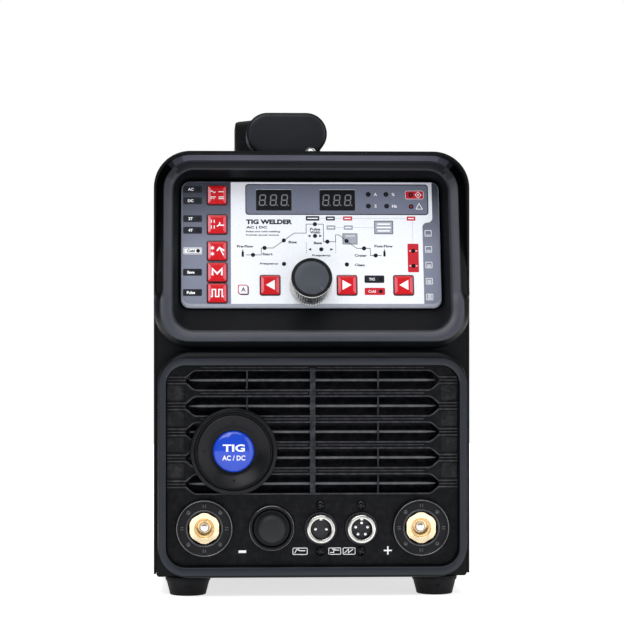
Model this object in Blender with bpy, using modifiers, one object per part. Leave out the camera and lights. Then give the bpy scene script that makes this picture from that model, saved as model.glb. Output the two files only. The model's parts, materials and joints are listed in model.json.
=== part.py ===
"""TIG welding machine: an inverter power source in a sheet-metal case with a plastic front.

Metres, +Z up. The front faces -Y and +X is the right-hand side seen from the front. The origin is
on the surface that the feet stand on, under the middle of the machine. Depths are measured from
the rim of the lower front towards the back.
"""
import math

import bmesh
import bpy
from mathutils import Matrix, Vector

# ------------------------------------------------------------------ driving dimensions (metres)
GAP = 0.0003                    # kept between pieces that touch
SHEET = 0.0015                  # steel sheet
FRONT_Y = -0.2245               # the rim of the lower front
HALF_WIDTH = 0.108              # case and hood
CASE_TOP = 0.3035
CASE_BOTTOM = 0.0127
COVER_BOTTOM = 0.0148
CASE_BACK = 0.4295              # depth of the rear panel's outer face
CASE_CORNER = 0.025
SEAT_DEPTH = 0.016              # the plastic front ends here and the steel begins
CHASSIS_DEPTH = SEAT_DEPTH + GAP

HOOD_BOTTOM = 0.1684
HOOD_TOP = 0.3045
HOOD_FRONT = -0.002             # depth of the hood's ridge at its foot
HOOD_BACK = 0.046
HOOD_CORNER = 0.026
LEAN = math.radians(15)         # hood and control panel lean back

PANEL_RECESS = 0.0142           # from the hood's front plane to the panel, along the depth
PANEL_WIDTH = 0.1792
PANEL_HEIGHT = 0.0909
PANEL_THICK = 0.002
PANEL_CENTRE_Z = 0.2404
BOARD_BACK = 0.0120             # the control board's front, behind the panel's face
BOARD_THICK = 0.0016
KEY_SIZE = (0.0132, 0.0136)
KEY_PROUD = 0.0012
KEY_BACK = 0.0010               # the key's back, behind the panel's face: it travels on from here
FUNCTION_KEY_X = -0.0648
FUNCTION_KEYS = (("output_mode_key", 0.0352), ("trigger_mode_key", 0.0139), ("cold_weld_key", -0.0052),
                 ("memory_key", -0.0204), ("pulse_key", -0.0353))
ARROW_KEY_Y = -0.0296
ARROW_KEYS = (("previous_key", -0.0285), ("next_key", 0.0244), ("select_key", 0.0634))
DISPLAY_SIZE = (0.0241, 0.0148)
DISPLAY_Y = 0.0319
DISPLAYS = (("current_display", -0.0255), ("value_display", 0.0186))
KNOB_PLACE = (-0.0008, -0.0302)
KNOB_RADIUS = 0.0143
KNOB_HEIGHT = 0.0215
SHAFT_RADIUS = 0.003

BEZEL_HALF = 0.1050
BEZEL_BOTTOM = 0.0135
BEZEL_TOP = 0.1667
BEZEL_CORNER = 0.022
FLOOR_DEPTH = 0.007             # the recessed face that carries the grille and the sockets
FLOOR_THICK = 0.0025
MOUNT_DEPTH = FLOOR_DEPTH - GAP
SLOT_TOP = 0.1538
SLOT_PITCH = 0.0176
SLOT_HEIGHT = 0.0133
SLOT_COUNT = 5
SLOT_REACH = 0.0805
SLOT_BAR = 0.0018               # the louvre bar halfway up each slot
SLOT_RIBS = (0.0, 0.045)        # rib places either side of the middle
SLOT_RIB_WIDTHS = (0.0035, 0.0012)

SOCKET_X = 0.0736
SOCKET_Z = 0.047
SOCKET_FLANGE = 0.0197
SOCKET_TUBE = 0.0145
BRASS_RADIUS = 0.0108
BRASS_BORE = 0.0068
GAS_PLACE = (-0.0280, 0.0469)
CONNECTORS = (("torch_connector", 0.0053), ("pedal_connector", 0.0329))
CONNECTOR_Z = 0.0465
CONNECTOR_BODY = 0.0085
CONNECTOR_SCREW_DZ = 0.0157
BADGE_PLACE = (-0.0537, 0.0990)

HANDLE_X = -0.013
HANDLE_FRONT = 0.140
BASE_FOLD = 0.0012              # the small corner fold along the bottom of the sheet parts
FOOT_HEIGHT = 0.0124
FOOT_X = 0.0848
FOOT_DEPTHS = (0.026, 0.395)

FAN_Z = 0.165
FAN_HALF = 0.060
FAN_BORE = 0.057
FAN_THICK = 0.025
SWITCH_PLACE = (-0.058, 0.262)
SWITCH_TILT = math.radians(7)
GLAND_PLACE = (0.055, 0.052)
GAS_INLET_PLACE = (-0.055, 0.052)
STUD_PLACE = (0.0, 0.045)

FACING_FRONT = (math.pi / 2, 0.0, 0.0)      # local +Z points out of the front
FACING_BACK = (-math.pi / 2, 0.0, 0.0)      # local +Z points out of the back


# ------------------------------------------------------------------ scene and materials
def clear_scene():
    for obj in list(bpy.data.objects):
        bpy.data.objects.remove(obj, do_unlink=True)


def add_collection(name):
    collection = bpy.data.collections.new(name)
    bpy.context.scene.collection.children.link(collection)
    return collection


def add_material(name, colour, roughness, metallic=0.0):
    material = bpy.data.materials.new(name)
    material.use_nodes = True
    shader = material.node_tree.nodes["Principled BSDF"]
    shader.inputs["Base Color"].default_value = (*colour, 1.0)
    shader.inputs["Roughness"].default_value = roughness
    shader.inputs["Metallic"].default_value = metallic
    return material


clear_scene()
PARTS = add_collection("tig_welding_machine")
CUTTERS = add_collection("cutters")

FINISHES = {
    "bezel": ((0.030, 0.032, 0.040), 0.45, 0.0),
    "panel": ((0.80, 0.82, 0.86), 0.30, 0.0),
    "key": ((0.62, 0.01, 0.02), 0.35, 0.0),
    "display": ((0.010, 0.010, 0.012), 0.15, 0.0),
    "knob": ((0.55, 0.56, 0.58), 0.35, 1.0),
    "dark": ((0.012, 0.012, 0.013), 0.5, 0.0),
    "rubber": ((0.010, 0.010, 0.010), 0.8, 0.0),
    "brass": ((0.80, 0.60, 0.28), 0.25, 1.0),
    "chrome": ((0.80, 0.80, 0.82), 0.15, 1.0),
    "steel": ((0.45, 0.46, 0.48), 0.4, 1.0),
    "case": ((0.014, 0.014, 0.016), 0.6, 0.0),
    "badge": ((0.010, 0.080, 0.55), 0.15, 0.0),
    "aluminium": ((0.60, 0.61, 0.63), 0.4, 1.0),
    "board": ((0.010, 0.120, 0.050), 0.5, 0.0),
    "winding": ((0.45, 0.18, 0.06), 0.4, 0.6),
}


# ------------------------------------------------------------------ modelling helpers
def at(x, depth, z):
    return Vector((x, FRONT_Y + depth, z))


def link(name, data, finish, location=(0, 0, 0), rotation=(0, 0, 0), parent=None):
    obj = bpy.data.objects.new(name, data)
    obj.location = location
    obj.rotation_euler = rotation
    obj.parent = parent
    if finish is None:
        obj.hide_render = True
        obj.display_type = "WIRE"
        CUTTERS.objects.link(obj)
    else:
        data.materials.append(add_material(name, *FINISHES[finish]))
        PARTS.objects.link(obj)
    return obj


def from_bmesh(name, bm, finish, **place):
    bmesh.ops.recalc_face_normals(bm, faces=bm.faces)
    mesh = bpy.data.meshes.new(name)
    bm.to_mesh(mesh)
    bm.free()
    return link(name, mesh, finish, **place)


def add_cube(bm, size, centre):
    matrix = Matrix.Translation(centre) @ Matrix.Diagonal((*size, 1.0))
    bmesh.ops.create_cube(bm, size=1.0, matrix=matrix)


def boxes(name, cubes, finish, bevel=0.0, **place):
    """One object of one or more cubes, each given as its size and its centre."""
    bm = bmesh.new()
    for size, centre in cubes:
        add_cube(bm, size, centre)
    obj = from_bmesh(name, bm, finish, **place)
    if bevel:
        add_bevel(obj, bevel)
    return obj


def box(name, size, finish, bevel=0.0, **place):
    return boxes(name, [(size, (0, 0, 0))], finish, bevel, **place)


def cylinders(name, discs, finish, segments=24, **place):
    """Cylinders along local Z, each given as its radius, its centre and its two heights."""
    bm = bmesh.new()
    for radius, (x, y), low, high in discs:
        bmesh.ops.create_cone(bm, cap_ends=True, segments=segments, radius1=radius, radius2=radius,
                              depth=high - low, matrix=Matrix.Translation((x, y, (low + high) / 2)))
    return from_bmesh(name, bm, finish, **place)


def turned(name, profile, finish, steps=24, **place):
    """A solid of revolution about local Z from (radius, height) points, top to bottom outside."""
    bm = bmesh.new()
    verts = [bm.verts.new((radius, 0.0, height)) for radius, height in profile]
    for a, b in zip(verts, verts[1:]):
        bm.edges.new((a, b))
    if profile[0][0] > 0:
        bm.edges.new((verts[-1], verts[0]))
    mesh = bpy.data.meshes.new(name)
    bm.to_mesh(mesh)
    bm.free()
    obj = link(name, mesh, finish, **place)
    screw = obj.modifiers.new("turn", "SCREW")
    screw.steps = steps
    screw.render_steps = steps
    screw.use_merge_vertices = True
    screw.merge_threshold = 0.00001
    screw.use_smooth_shade = True
    return obj


def outline_plate(name, outlines, thickness, finish, **place):
    """A flat plate in local XY from closed outlines: the first is its edge, the rest its holes."""
    curve = bpy.data.curves.new(name, "CURVE")
    curve.dimensions = "2D"
    curve.fill_mode = "BOTH"
    curve.extrude = thickness / 2
    for outline in outlines:
        spline = curve.splines.new("POLY")
        spline.points.add(len(outline) - 1)
        for point, (x, y) in zip(spline.points, outline):
            point.co = (x, y, 0.0, 1.0)
        spline.use_cyclic_u = True
    return link(name, curve, finish, **place)


def to_mesh(obj):
    """The curve object as a welded mesh object of the same name and place."""
    evaluated = obj.evaluated_get(bpy.context.evaluated_depsgraph_get())
    mesh = bpy.data.meshes.new_from_object(evaluated)
    bm = bmesh.new()
    bm.from_mesh(mesh)
    bmesh.ops.remove_doubles(bm, verts=bm.verts, dist=0.00001)
    bmesh.ops.recalc_face_normals(bm, faces=bm.faces)
    bm.to_mesh(mesh)
    bm.free()
    name, matrix, owner = obj.name, obj.matrix_world.copy(), obj.users_collection[0]
    bpy.data.objects.remove(obj, do_unlink=True)
    solid = bpy.data.objects.new(name, mesh)
    solid.matrix_world = matrix
    owner.objects.link(solid)
    return solid


def combine(obj, other, operation):
    other.hide_render = True
    other.display_type = "WIRE"
    modifier = obj.modifiers.new(operation.lower(), "BOOLEAN")
    modifier.operation = operation
    modifier.object = other
    modifier.solver = "EXACT"


def cut(obj, cutter):
    combine(obj, cutter, "DIFFERENCE")


def join(obj, other):
    combine(obj, other, "UNION")


def add_bevel(obj, width, segments=2):
    bevel = obj.modifiers.new("edges", "BEVEL")
    bevel.width = width
    bevel.segments = segments
    bevel.limit_method = "ANGLE"


def smooth(obj, degrees=35):
    obj.data.shade_smooth()
    obj.data.set_sharp_from_angle(angle=math.radians(degrees))


def arc(centre, radius, start, end, steps):
    """Points on a circle between two angles in degrees, both ends included."""
    angles = (math.radians(start + (end - start) * i / steps) for i in range(steps + 1))
    return [(centre[0] + radius * math.cos(a), centre[1] + radius * math.sin(a)) for a in angles]


def rounded_rect(x0, x1, y0, y1, radius, steps=5):
    corners = (((x1 - radius, y0 + radius), -90), ((x1 - radius, y1 - radius), 0),
               ((x0 + radius, y1 - radius), 90), ((x0 + radius, y0 + radius), 180))
    return [point for centre, start in corners for point in arc(centre, radius, start, start + 90, steps)]


def circle(x, y, radius, steps=24):
    return arc((x, y), radius, 0, 360 * (steps - 1) / steps, steps - 1)


def loft(name, rings, finish, capped):
    """Rings of equal length joined in order: capped at both ends, or closed into a loop."""
    bm = bmesh.new()
    loops = [[bm.verts.new(point) for point in ring] for ring in rings]
    pairs = list(zip(loops, loops[1:]))
    if capped:
        bm.faces.new(loops[0])
        bm.faces.new(loops[-1])
    else:
        pairs.append((loops[-1], loops[0]))
    for a, b in pairs:
        for i in range(len(a)):
            j = (i + 1) % len(a)
            bm.faces.new((a[i], a[j], b[j], b[i]))
    return from_bmesh(name, bm, finish)


# ------------------------------------------------------------------ control hood and panel
def hood_ring(side, top, bottom, radius, depth, leaning=True):
    """A rounded rectangle inset from the hood's outline, on its leaning front or on a flat plane."""
    points = rounded_rect(side - HALF_WIDTH, HALF_WIDTH - side, HOOD_BOTTOM + bottom, HOOD_TOP - top, radius)
    slope = math.tan(LEAN) if leaning else 0.0
    start = HOOD_FRONT + depth if leaning else depth
    return [at(x, start + slope * (z - HOOD_BOTTOM), z) for x, z in points]


def make_hood():
    seat = PANEL_RECESS + PANEL_THICK / math.cos(LEAN) + GAP
    rings = [
        hood_ring(0, 0, 0, HOOD_CORNER, HOOD_BACK, leaning=False),
        hood_ring(0, 0, 0, HOOD_CORNER, 0.0070),
        hood_ring(0.0015, 0.0015, 0.0015, 0.0245, 0.0022),
        hood_ring(0.0068, 0.0068, 0.0060, 0.0195, 0.0),
        hood_ring(0.0133, 0.0133, 0.0122, 0.0150, 0.0030),
        hood_ring(0.0180, 0.0198, 0.0277, 0.0065, seat),
        hood_ring(0.0205, 0.0222, 0.0300, 0.0045, seat),
        hood_ring(0.0205, 0.0222, 0.0300, 0.0045, seat + 0.0024),
        hood_ring(0.0155, 0.0172, 0.0250, 0.0085, seat + 0.0024),
        hood_ring(0.0108, 0.0108, 0.0098, 0.0160, 0.0060),
        hood_ring(0.0050, 0.0050, 0.0050, 0.0205, 0.0040),
        hood_ring(0.0028, 0.0028, 0.0028, 0.0232, 0.0080),
        hood_ring(0.0028, 0.0028, 0.0028, 0.0232, HOOD_BACK, leaning=False),
    ]
    hood = loft("upper_hood_bezel", rings, "bezel", capped=False)
    smooth(hood)
    return hood


def hood_clearance():
    """The hood's outline with the gap round it, as deep as the hood: what the steel makes room for."""
    outline = rounded_rect(-HALF_WIDTH - GAP, HALF_WIDTH + GAP, HOOD_BOTTOM - GAP, HOOD_TOP + GAP,
                           HOOD_CORNER + GAP)
    depths = (HOOD_FRONT - 0.01, HOOD_BACK + GAP)
    return loft("hood_clearance", [[at(x, depth, z) for x, z in outline] for depth in depths], None, True)


def make_panel_frame():
    """The empty that carries the control panel: its XY plane is the panel's face."""
    frame = bpy.data.objects.new("panel_frame", None)
    depth = HOOD_FRONT + PANEL_RECESS + math.tan(LEAN) * (PANEL_CENTRE_Z - HOOD_BOTTOM)
    frame.location = at(0, depth, PANEL_CENTRE_Z)
    frame.rotation_euler = (math.pi / 2 - LEAN, 0.0, 0.0)
    PARTS.objects.link(frame)
    return frame


def key_places():
    places = [(name, FUNCTION_KEY_X, y) for name, y in FUNCTION_KEYS]
    return places + [(name, x, ARROW_KEY_Y) for name, x in ARROW_KEYS]


def make_control_panel(frame):
    half_w, half_h = PANEL_WIDTH / 2, PANEL_HEIGHT / 2
    outlines = [rounded_rect(-half_w, half_w, -half_h, half_h, 0.006)]
    openings = [(x, y, KEY_SIZE) for _, x, y in key_places()]
    openings += [(x, DISPLAY_Y, DISPLAY_SIZE) for _, x in DISPLAYS]
    for x, y, (width, height) in openings:
        w, h = width / 2 + GAP, height / 2 + GAP
        outlines.append(rounded_rect(x - w, x + w, y - h, y + h, 0.0009, steps=2))
    outlines.append(circle(*KNOB_PLACE, SHAFT_RADIUS + 0.0012, 24))
    outline_plate("control_panel_plate", outlines, PANEL_THICK, "panel", parent=frame,
                  location=(0, 0, -PANEL_THICK / 2))

    for name, x, y in key_places():
        thick = KEY_PROUD + KEY_BACK
        box(name, (*KEY_SIZE, thick), "key", bevel=0.0006, parent=frame,
            location=(x, y, (KEY_PROUD - KEY_BACK) / 2))
    for name, x in DISPLAYS:
        box(name, (*DISPLAY_SIZE, 0.0075), "display", parent=frame, location=(x, DISPLAY_Y, -0.0042))


def make_control_board(frame):
    """The board behind the panel, with a push switch soldered on behind each key."""
    middle = -BOARD_BACK - BOARD_THICK / 2
    board = box("control_board", (0.172, 0.080, BOARD_THICK), "board", parent=frame, location=(0, 0, middle))
    foot = -BOARD_BACK - BOARD_THICK / 2
    head = -KEY_BACK - 0.0030
    switches = [((0.006, 0.006, head - foot), (x, y, (head + foot) / 2)) for _, x, y in key_places()]
    join(board, boxes("push_switches", switches, None, parent=frame))


def make_knob(frame):
    x, y = KNOB_PLACE
    bore = SHAFT_RADIUS + GAP
    rim, base, seat = KNOB_HEIGHT, 0.0006, KNOB_HEIGHT - 0.0016
    profile = [(0, seat), (0.0126, seat), (0.0126, rim), (0.0134, rim), (KNOB_RADIUS - 0.0004, rim - 0.0008),
               (KNOB_RADIUS, base + 0.0006), (KNOB_RADIUS, base), (bore, base), (bore, 0.0130), (0, 0.0130)]
    turned("encoder_knob", profile, "knob", steps=32, parent=frame, location=(x, y, 0))
    cap = [(0, 0.0016), (0.0110, 0.0016), (0.0123, 0.0010), (0.0123, GAP), (0, GAP)]
    turned("knob_cap", cap, "dark", steps=32, parent=frame, location=(x, y, seat))
    shaft = [(0, 0.0127), (SHAFT_RADIUS, 0.0127), (SHAFT_RADIUS, -0.0090), (0, -0.0090)]
    turned("encoder_shaft", shaft, "steel", steps=16, parent=frame, location=(x, y, 0))
    body = box("encoder_body", (0.012, 0.012, 0.0070), "steel", parent=frame,
               location=(x, y, -BOARD_BACK + GAP + 0.0035))
    cut(body, cylinders("encoder_bore", [(bore, (0, 0), -0.0095, 0.0)], None, 16, parent=frame,
                        location=(x, y, 0)))


# ------------------------------------------------------------------ lower front
def bezel_ring(inset, depth):
    radius = max(BEZEL_CORNER - inset, 0.004)
    points = rounded_rect(inset - BEZEL_HALF, BEZEL_HALF - inset, BEZEL_BOTTOM + inset, BEZEL_TOP - inset, radius)
    return [at(x, depth, z) for x, z in points]


def slot_cubes():
    """The openings of the grille: each slot is split by its louvre bar and by the upright ribs."""
    middle, side = SLOT_RIBS
    half_middle, half_side = (width / 2 for width in SLOT_RIB_WIDTHS)
    spans = [(middle + half_middle, side - half_side), (side + half_side, SLOT_REACH)]
    spans += [(-high, -low) for low, high in spans]
    height = (SLOT_HEIGHT - SLOT_BAR) / 2
    for row in range(SLOT_COUNT):
        centre = SLOT_TOP - SLOT_HEIGHT / 2 - row * SLOT_PITCH
        for offset in (-1, 1):
            z = centre + offset * (height + SLOT_BAR) / 2
            for low, high in spans:
                yield (high - low, 0.012, height), at((low + high) / 2, FLOOR_DEPTH + FLOOR_THICK / 2, z)


def front_holes():
    """Round holes through the lower front: radius and place of each."""
    holes = [(SOCKET_TUBE + GAP, (x, SOCKET_Z)) for x in (-SOCKET_X, SOCKET_X)]
    holes.append((0.0095, GAS_PLACE))
    for _, x in CONNECTORS:
        holes.append((CONNECTOR_BODY + GAP, (x, CONNECTOR_Z)))
        holes += [(0.0018, (x, CONNECTOR_Z + dz)) for dz in (-CONNECTOR_SCREW_DZ, CONNECTOR_SCREW_DZ)]
    return holes


def make_lower_front():
    back = FLOOR_DEPTH + FLOOR_THICK
    rings = [bezel_ring(0.0078, FLOOR_DEPTH), bezel_ring(0.0064, 0.0012), bezel_ring(0.0056, 0.0),
             bezel_ring(0.0010, 0.0), bezel_ring(0.0, 0.0012), bezel_ring(0.0, SEAT_DEPTH),
             bezel_ring(0.0025, SEAT_DEPTH), bezel_ring(0.0025, back)]
    bezel = loft("lower_front_bezel", rings, "bezel", capped=True)
    cut(bezel, boxes("grille_slots", slot_cubes(), None))
    discs = [(radius, place, -0.02, 0.005) for radius, place in front_holes()]
    cut(bezel, cylinders("front_holes", discs, None, location=at(0, 0, 0), rotation=FACING_FRONT))


def make_chassis_plate(clearance):
    """The steel plate behind the plastic front, open behind the grille."""
    half, low, high, chamfer = HALF_WIDTH - SHEET - GAP, BEZEL_BOTTOM, 0.200, BASE_FOLD
    edge = [(half - chamfer, low), (half, low + chamfer), (half, high), (-half, high),
            (-half, low + chamfer), (chamfer - half, low)]
    outlines = [edge, rounded_rect(-0.088, 0.088, 0.066, 0.158, 0.004, steps=3)]
    outlines += [circle(*place, radius, 20) for radius, place in front_holes()]
    plate = outline_plate("front_chassis_plate", outlines, SHEET, "case",
                          location=at(0, CHASSIS_DEPTH + SHEET / 2, 0), rotation=FACING_FRONT)
    bpy.context.view_layer.update()
    cut(to_mesh(plate), clearance)


def make_sockets():
    for sign, name in ((-1, "negative"), (1, "positive")):
        place = dict(location=at(sign * SOCKET_X, 0, SOCKET_Z), rotation=FACING_FRONT)
        bore = BRASS_RADIUS + GAP
        body = [(bore, -0.0015), (0.0188, -0.0015), (SOCKET_FLANGE, -0.0026), (SOCKET_FLANGE, -MOUNT_DEPTH),
                (SOCKET_TUBE, -MOUNT_DEPTH), (SOCKET_TUBE, -0.045), (bore, -0.045)]
        turned(f"{name}_socket_body", body, "dark", steps=32, **place)
        floor, pin_tip, pin = -0.022, -0.013, 0.0031
        insert = [(0, pin_tip), (pin, pin_tip), (pin, floor), (BRASS_BORE, floor), (BRASS_BORE, -0.0030),
                  (BRASS_RADIUS, -0.0030), (BRASS_RADIUS, -0.055), (0, -0.055)]
        turned(f"{name}_brass_insert", insert, "brass", **place)


def make_gas_outlet():
    x, z = GAS_PLACE
    place = dict(location=at(x, 0, z), rotation=FACING_FRONT)
    bore, nipple = 0.0024, 0.0055
    fitting = [(bore, 0.0005), (nipple, 0.0005), (nipple, -0.0042), (0.0120, -0.0042), (0.0135, -0.0028),
               (0.0155, -0.0028), (0.0155, -MOUNT_DEPTH), (0.0090, -MOUNT_DEPTH), (0.0090, -0.040),
               (bore, -0.040)]
    turned("gas_outlet_fitting", fitting, "dark", **place)
    inner = nipple + 0.0007
    cap = [(0, 0.0060), (0.0076, 0.0056), (0.0094, 0.0044), (0.0101, 0.0022), (0.0101, -0.0039),
           (inner, -0.0039), (inner, 0.0015), (0, 0.0015)]
    turned("gas_outlet_cap", cap, "rubber", **place)


def make_connectors():
    for name, x in CONNECTORS:
        place = dict(location=at(x, 0, CONNECTOR_Z), rotation=FACING_FRONT)
        bore = 0.0071
        shell = [(bore, 0.0020), (0.0092, 0.0020), (0.0097, 0.0012), (0.0097, -0.0050), (0.0113, -0.0050),
                 (0.0113, -MOUNT_DEPTH), (CONNECTOR_BODY, -MOUNT_DEPTH), (CONNECTOR_BODY, -0.030),
                 (bore, -0.030)]
        turned(f"{name}_shell", shell, "chrome", **place)
        insert = [(0, -0.0035), (bore - GAP, -0.0035), (bore - GAP, -0.034), (0, -0.034)]
        turned(f"{name}_insert", insert, "dark", **place)
        for side, dz in (("lower", -CONNECTOR_SCREW_DZ), ("upper", CONNECTOR_SCREW_DZ)):
            screw = [(0, -0.0047), (0.0024, -0.0050), (0.0030, -0.0058), (0.0030, -MOUNT_DEPTH),
                     (0.0014, -MOUNT_DEPTH), (0.0014, -0.0155), (0, -0.0155)]
            turned(f"{name}_{side}_screw", screw, "dark", steps=12,
                   location=at(x, 0, CONNECTOR_Z + dz), rotation=FACING_FRONT)


def make_badge():
    x, z = BADGE_PLACE
    place = dict(location=at(x, 0, z), rotation=FACING_FRONT)
    ring = [(0, -0.0055), (0.0160, -0.0055), (0.0176, -0.0045), (0.0240, -0.0010), (0.0246, -0.0010),
            (0.0249, -0.0032), (0.0262, -0.0032), (0.0267, -0.0004), (0.0290, -0.0004),
            (0.0295, -0.0010), (0.0295, -MOUNT_DEPTH), (0, -MOUNT_DEPTH)]
    turned("badge_ring", ring, "bezel", steps=36, **place)
    radius, rim, crown = 0.0149, -0.0040, 0.0022
    dome = [(radius * math.sin(math.radians(a)), rim + crown * math.cos(math.radians(a)))
            for a in (0, 22.5, 45, 67.5, 90)]
    turned("badge_disc", dome + [(radius, -0.0052), (0, -0.0052)], "badge", steps=32, **place)


# ------------------------------------------------------------------ case
def sheet_channel(name, points, depth_range, finish):
    """A folded sheet: an open outline in XZ drawn along the depth, thickened inwards."""
    bm = bmesh.new()
    near, far = ([bm.verts.new(at(x, depth, z)) for x, z in points] for depth in depth_range)
    for i in range(len(points) - 1):
        bm.faces.new((near[i], near[i + 1], far[i + 1], far[i]))
    mesh = bpy.data.meshes.new(name)
    bm.to_mesh(mesh)
    bm.free()
    obj = link(name, mesh, finish)
    solidify = obj.modifiers.new("sheet", "SOLIDIFY")
    solidify.thickness = SHEET
    solidify.offset = -1.0
    solidify.use_even_offset = True
    return obj


def make_cover(clearance):
    top, half, low = CASE_TOP, HALF_WIDTH, COVER_BOTTOM
    corner_x, corner_z = half - CASE_CORNER, top - CASE_CORNER
    points = [(-half, low)] + arc((-corner_x, corner_z), CASE_CORNER, 180, 90, 8)
    points += arc((corner_x, corner_z), CASE_CORNER, 90, 0, 8) + [(half, low)]
    cover = sheet_channel("case_cover", points, (CHASSIS_DEPTH, CASE_BACK), "case")
    cut(cover, clearance)
    slots = []
    for depth in (0.115, 0.200, 0.330):
        for row in range(9):
            slots.append(((0.25, 0.060, 0.0042), at(0, depth, 0.080 + 0.018 * row)))
    cut(cover, boxes("side_louvre_slots", slots, None))


def make_base():
    half = HALF_WIDTH - SHEET - GAP
    wall, fold, low = 0.040, BASE_FOLD, CASE_BOTTOM
    points = [(half, wall), (half, low + fold), (half - fold, low), (fold - half, low),
              (-half, low + fold), (-half, wall)]
    front = CHASSIS_DEPTH + SHEET + GAP
    sheet_channel("base_pan", points, (front, CASE_BACK - SHEET - GAP), "case")


def make_rear_panel():
    half, low = HALF_WIDTH - SHEET - GAP, CASE_BOTTOM + GAP
    top, corner, chamfer = CASE_TOP - SHEET - GAP, CASE_CORNER - SHEET, BASE_FOLD
    edge = [(chamfer - half, low), (half - chamfer, low), (half, low + chamfer)]
    edge += arc((half - corner, top - corner), corner, 0, 90, 6)
    edge += arc((corner - half, top - corner), corner, 90, 180, 6) + [(-half, low + chamfer)]
    sx, sz = SWITCH_PLACE
    outlines = [edge, circle(0, FAN_Z, FAN_BORE, 36),
                rounded_rect(sx - 0.0140, sx + 0.0140, sz - 0.0100, sz + 0.0100, 0.001, steps=2)]
    outlines += [circle(*place, radius, 16) for place, radius in
                 ((GLAND_PLACE, 0.0083), (GAS_INLET_PLACE, 0.0053), (STUD_PLACE, 0.0033))]
    outline_plate("rear_panel", outlines, SHEET, "case", location=at(0, CASE_BACK - SHEET / 2, 0),
                  rotation=FACING_FRONT)


def make_feet():
    for row, depth in zip(("front", "rear"), FOOT_DEPTHS):
        for side, sign in (("left", -1), ("right", 1)):
            profile = [(0, FOOT_HEIGHT), (0.0155, FOOT_HEIGHT), (0.0155, FOOT_HEIGHT - 0.0015), (0.0125, 0),
                       (0.0060, 0), (0.0060, 0.0050), (0, 0.0050)]
            turned(f"{row}_{side}_foot", profile, "rubber", steps=20, location=at(sign * FOOT_X, depth, 0))


def make_handle():
    x, foot = HANDLE_X, CASE_TOP + GAP
    front = rounded_rect(x - 0.0297, x + 0.0297, foot, 0.3405, 0.0155, steps=8)
    grip = rounded_rect(x - 0.0240, x + 0.0240, 0.3250, 0.3400, 0.0072, steps=5)
    rear_half, rear_top, rear_shift = 0.0330, 0.3465, -0.0035
    shoulder = [(rear_half, rear_top - 0.0030), (rear_half - 0.0020, rear_top - 0.0015),
                (rear_half - 0.0140, rear_top)]
    right = [(rear_half, foot)] + shoulder
    rear = [(x + rear_shift + across, up) for across, up in right]
    rear += [(x + rear_shift - across, up) for across, up in reversed(right)]
    length, grip_length, rear_length = 0.034, 0.104, 0.056
    grip_start = HANDLE_FRONT + length + GAP
    rear_start = grip_start + grip_length + GAP
    pieces = (("handle_front_block", front, HANDLE_FRONT, length),
              ("handle_grip", grip, grip_start, grip_length), ("handle_rear_block", rear, rear_start, rear_length))
    for name, outline, start, size in pieces:
        outline_plate(name, [outline], size, "dark", location=at(0, start + size / 2, 0), rotation=FACING_FRONT)
    screw = [(0, 0.0026), (0.0018, 0.0024), (0.0032, 0.0012), (0.0036, 0), (0, 0)]
    turned("hood_screw", screw, "chrome", steps=16, location=at(0, 0.041, HOOD_TOP + GAP))


# ------------------------------------------------------------------ back of the machine
def make_fan():
    back = CASE_BACK - SHEET - GAP
    middle = back - FAN_THICK / 2
    place = dict(location=at(0, middle, FAN_Z), rotation=FACING_BACK)
    half = FAN_THICK / 2
    frame = box("fan_frame", (2 * FAN_HALF, 2 * FAN_HALF, FAN_THICK), "dark", **place)
    cut(frame, cylinders("fan_bore", [(FAN_BORE, (0, 0), -0.02, 0.02)], None, 36, **place))
    motor = cylinders("fan_motor", [(0.0200, (0, 0), -half, -half + 0.0030)], None, **place)
    join(frame, motor)
    strut = (2 * FAN_BORE + 0.004, 0.0040, 0.0026)
    for turn in (45, 135):
        bm = bmesh.new()
        centre = Vector((0, 0, -half + 0.0015))
        add_cube(bm, strut, centre)
        bmesh.ops.rotate(bm, cent=centre, matrix=Matrix.Rotation(math.radians(turn), 3, "Z"), verts=bm.verts)
        join(frame, from_bmesh(f"fan_strut_{turn}", bm, None, **place))

    low, high = -half + 0.0036, half - 0.0020
    impeller = cylinders("fan_impeller", [(0.0200, (0, 0), low, high)], "dark", **place)
    bm = bmesh.new()
    for i in range(7):
        spin = Matrix.Rotation(2 * math.pi * i / 7, 4, "Z")
        pitch = Matrix.Rotation(math.radians(38), 4, "X")
        matrix = spin @ Matrix.Translation((0.0365, 0, (low + high) / 2)) @ pitch
        bmesh.ops.create_cube(bm, size=1.0, matrix=matrix @ Matrix.Diagonal((0.037, 0.026, 0.0018, 1.0)))
    join(impeller, from_bmesh("fan_blades", bm, None, **place))


def guard_slots():
    """Curved slots in four rings, each ring broken by four spokes."""
    for inner in (0.012, 0.023, 0.034, 0.045):
        spoke = math.degrees(0.0045 / inner)
        for quarter in (0, 90, 180, 270):
            start, end = quarter + spoke, quarter + 90 - spoke
            yield arc((0, 0), inner + 0.0085, start, end, 6) + arc((0, 0), inner, end, start, 4)


def make_fan_guard():
    outlines = [rounded_rect(-0.058, 0.058, -0.058, 0.058, 0.012, steps=4), *guard_slots()]
    outline_plate("fan_guard", outlines, 0.0016, "steel", location=at(0, CASE_BACK + GAP + 0.0008, FAN_Z),
                  rotation=FACING_BACK)


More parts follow.
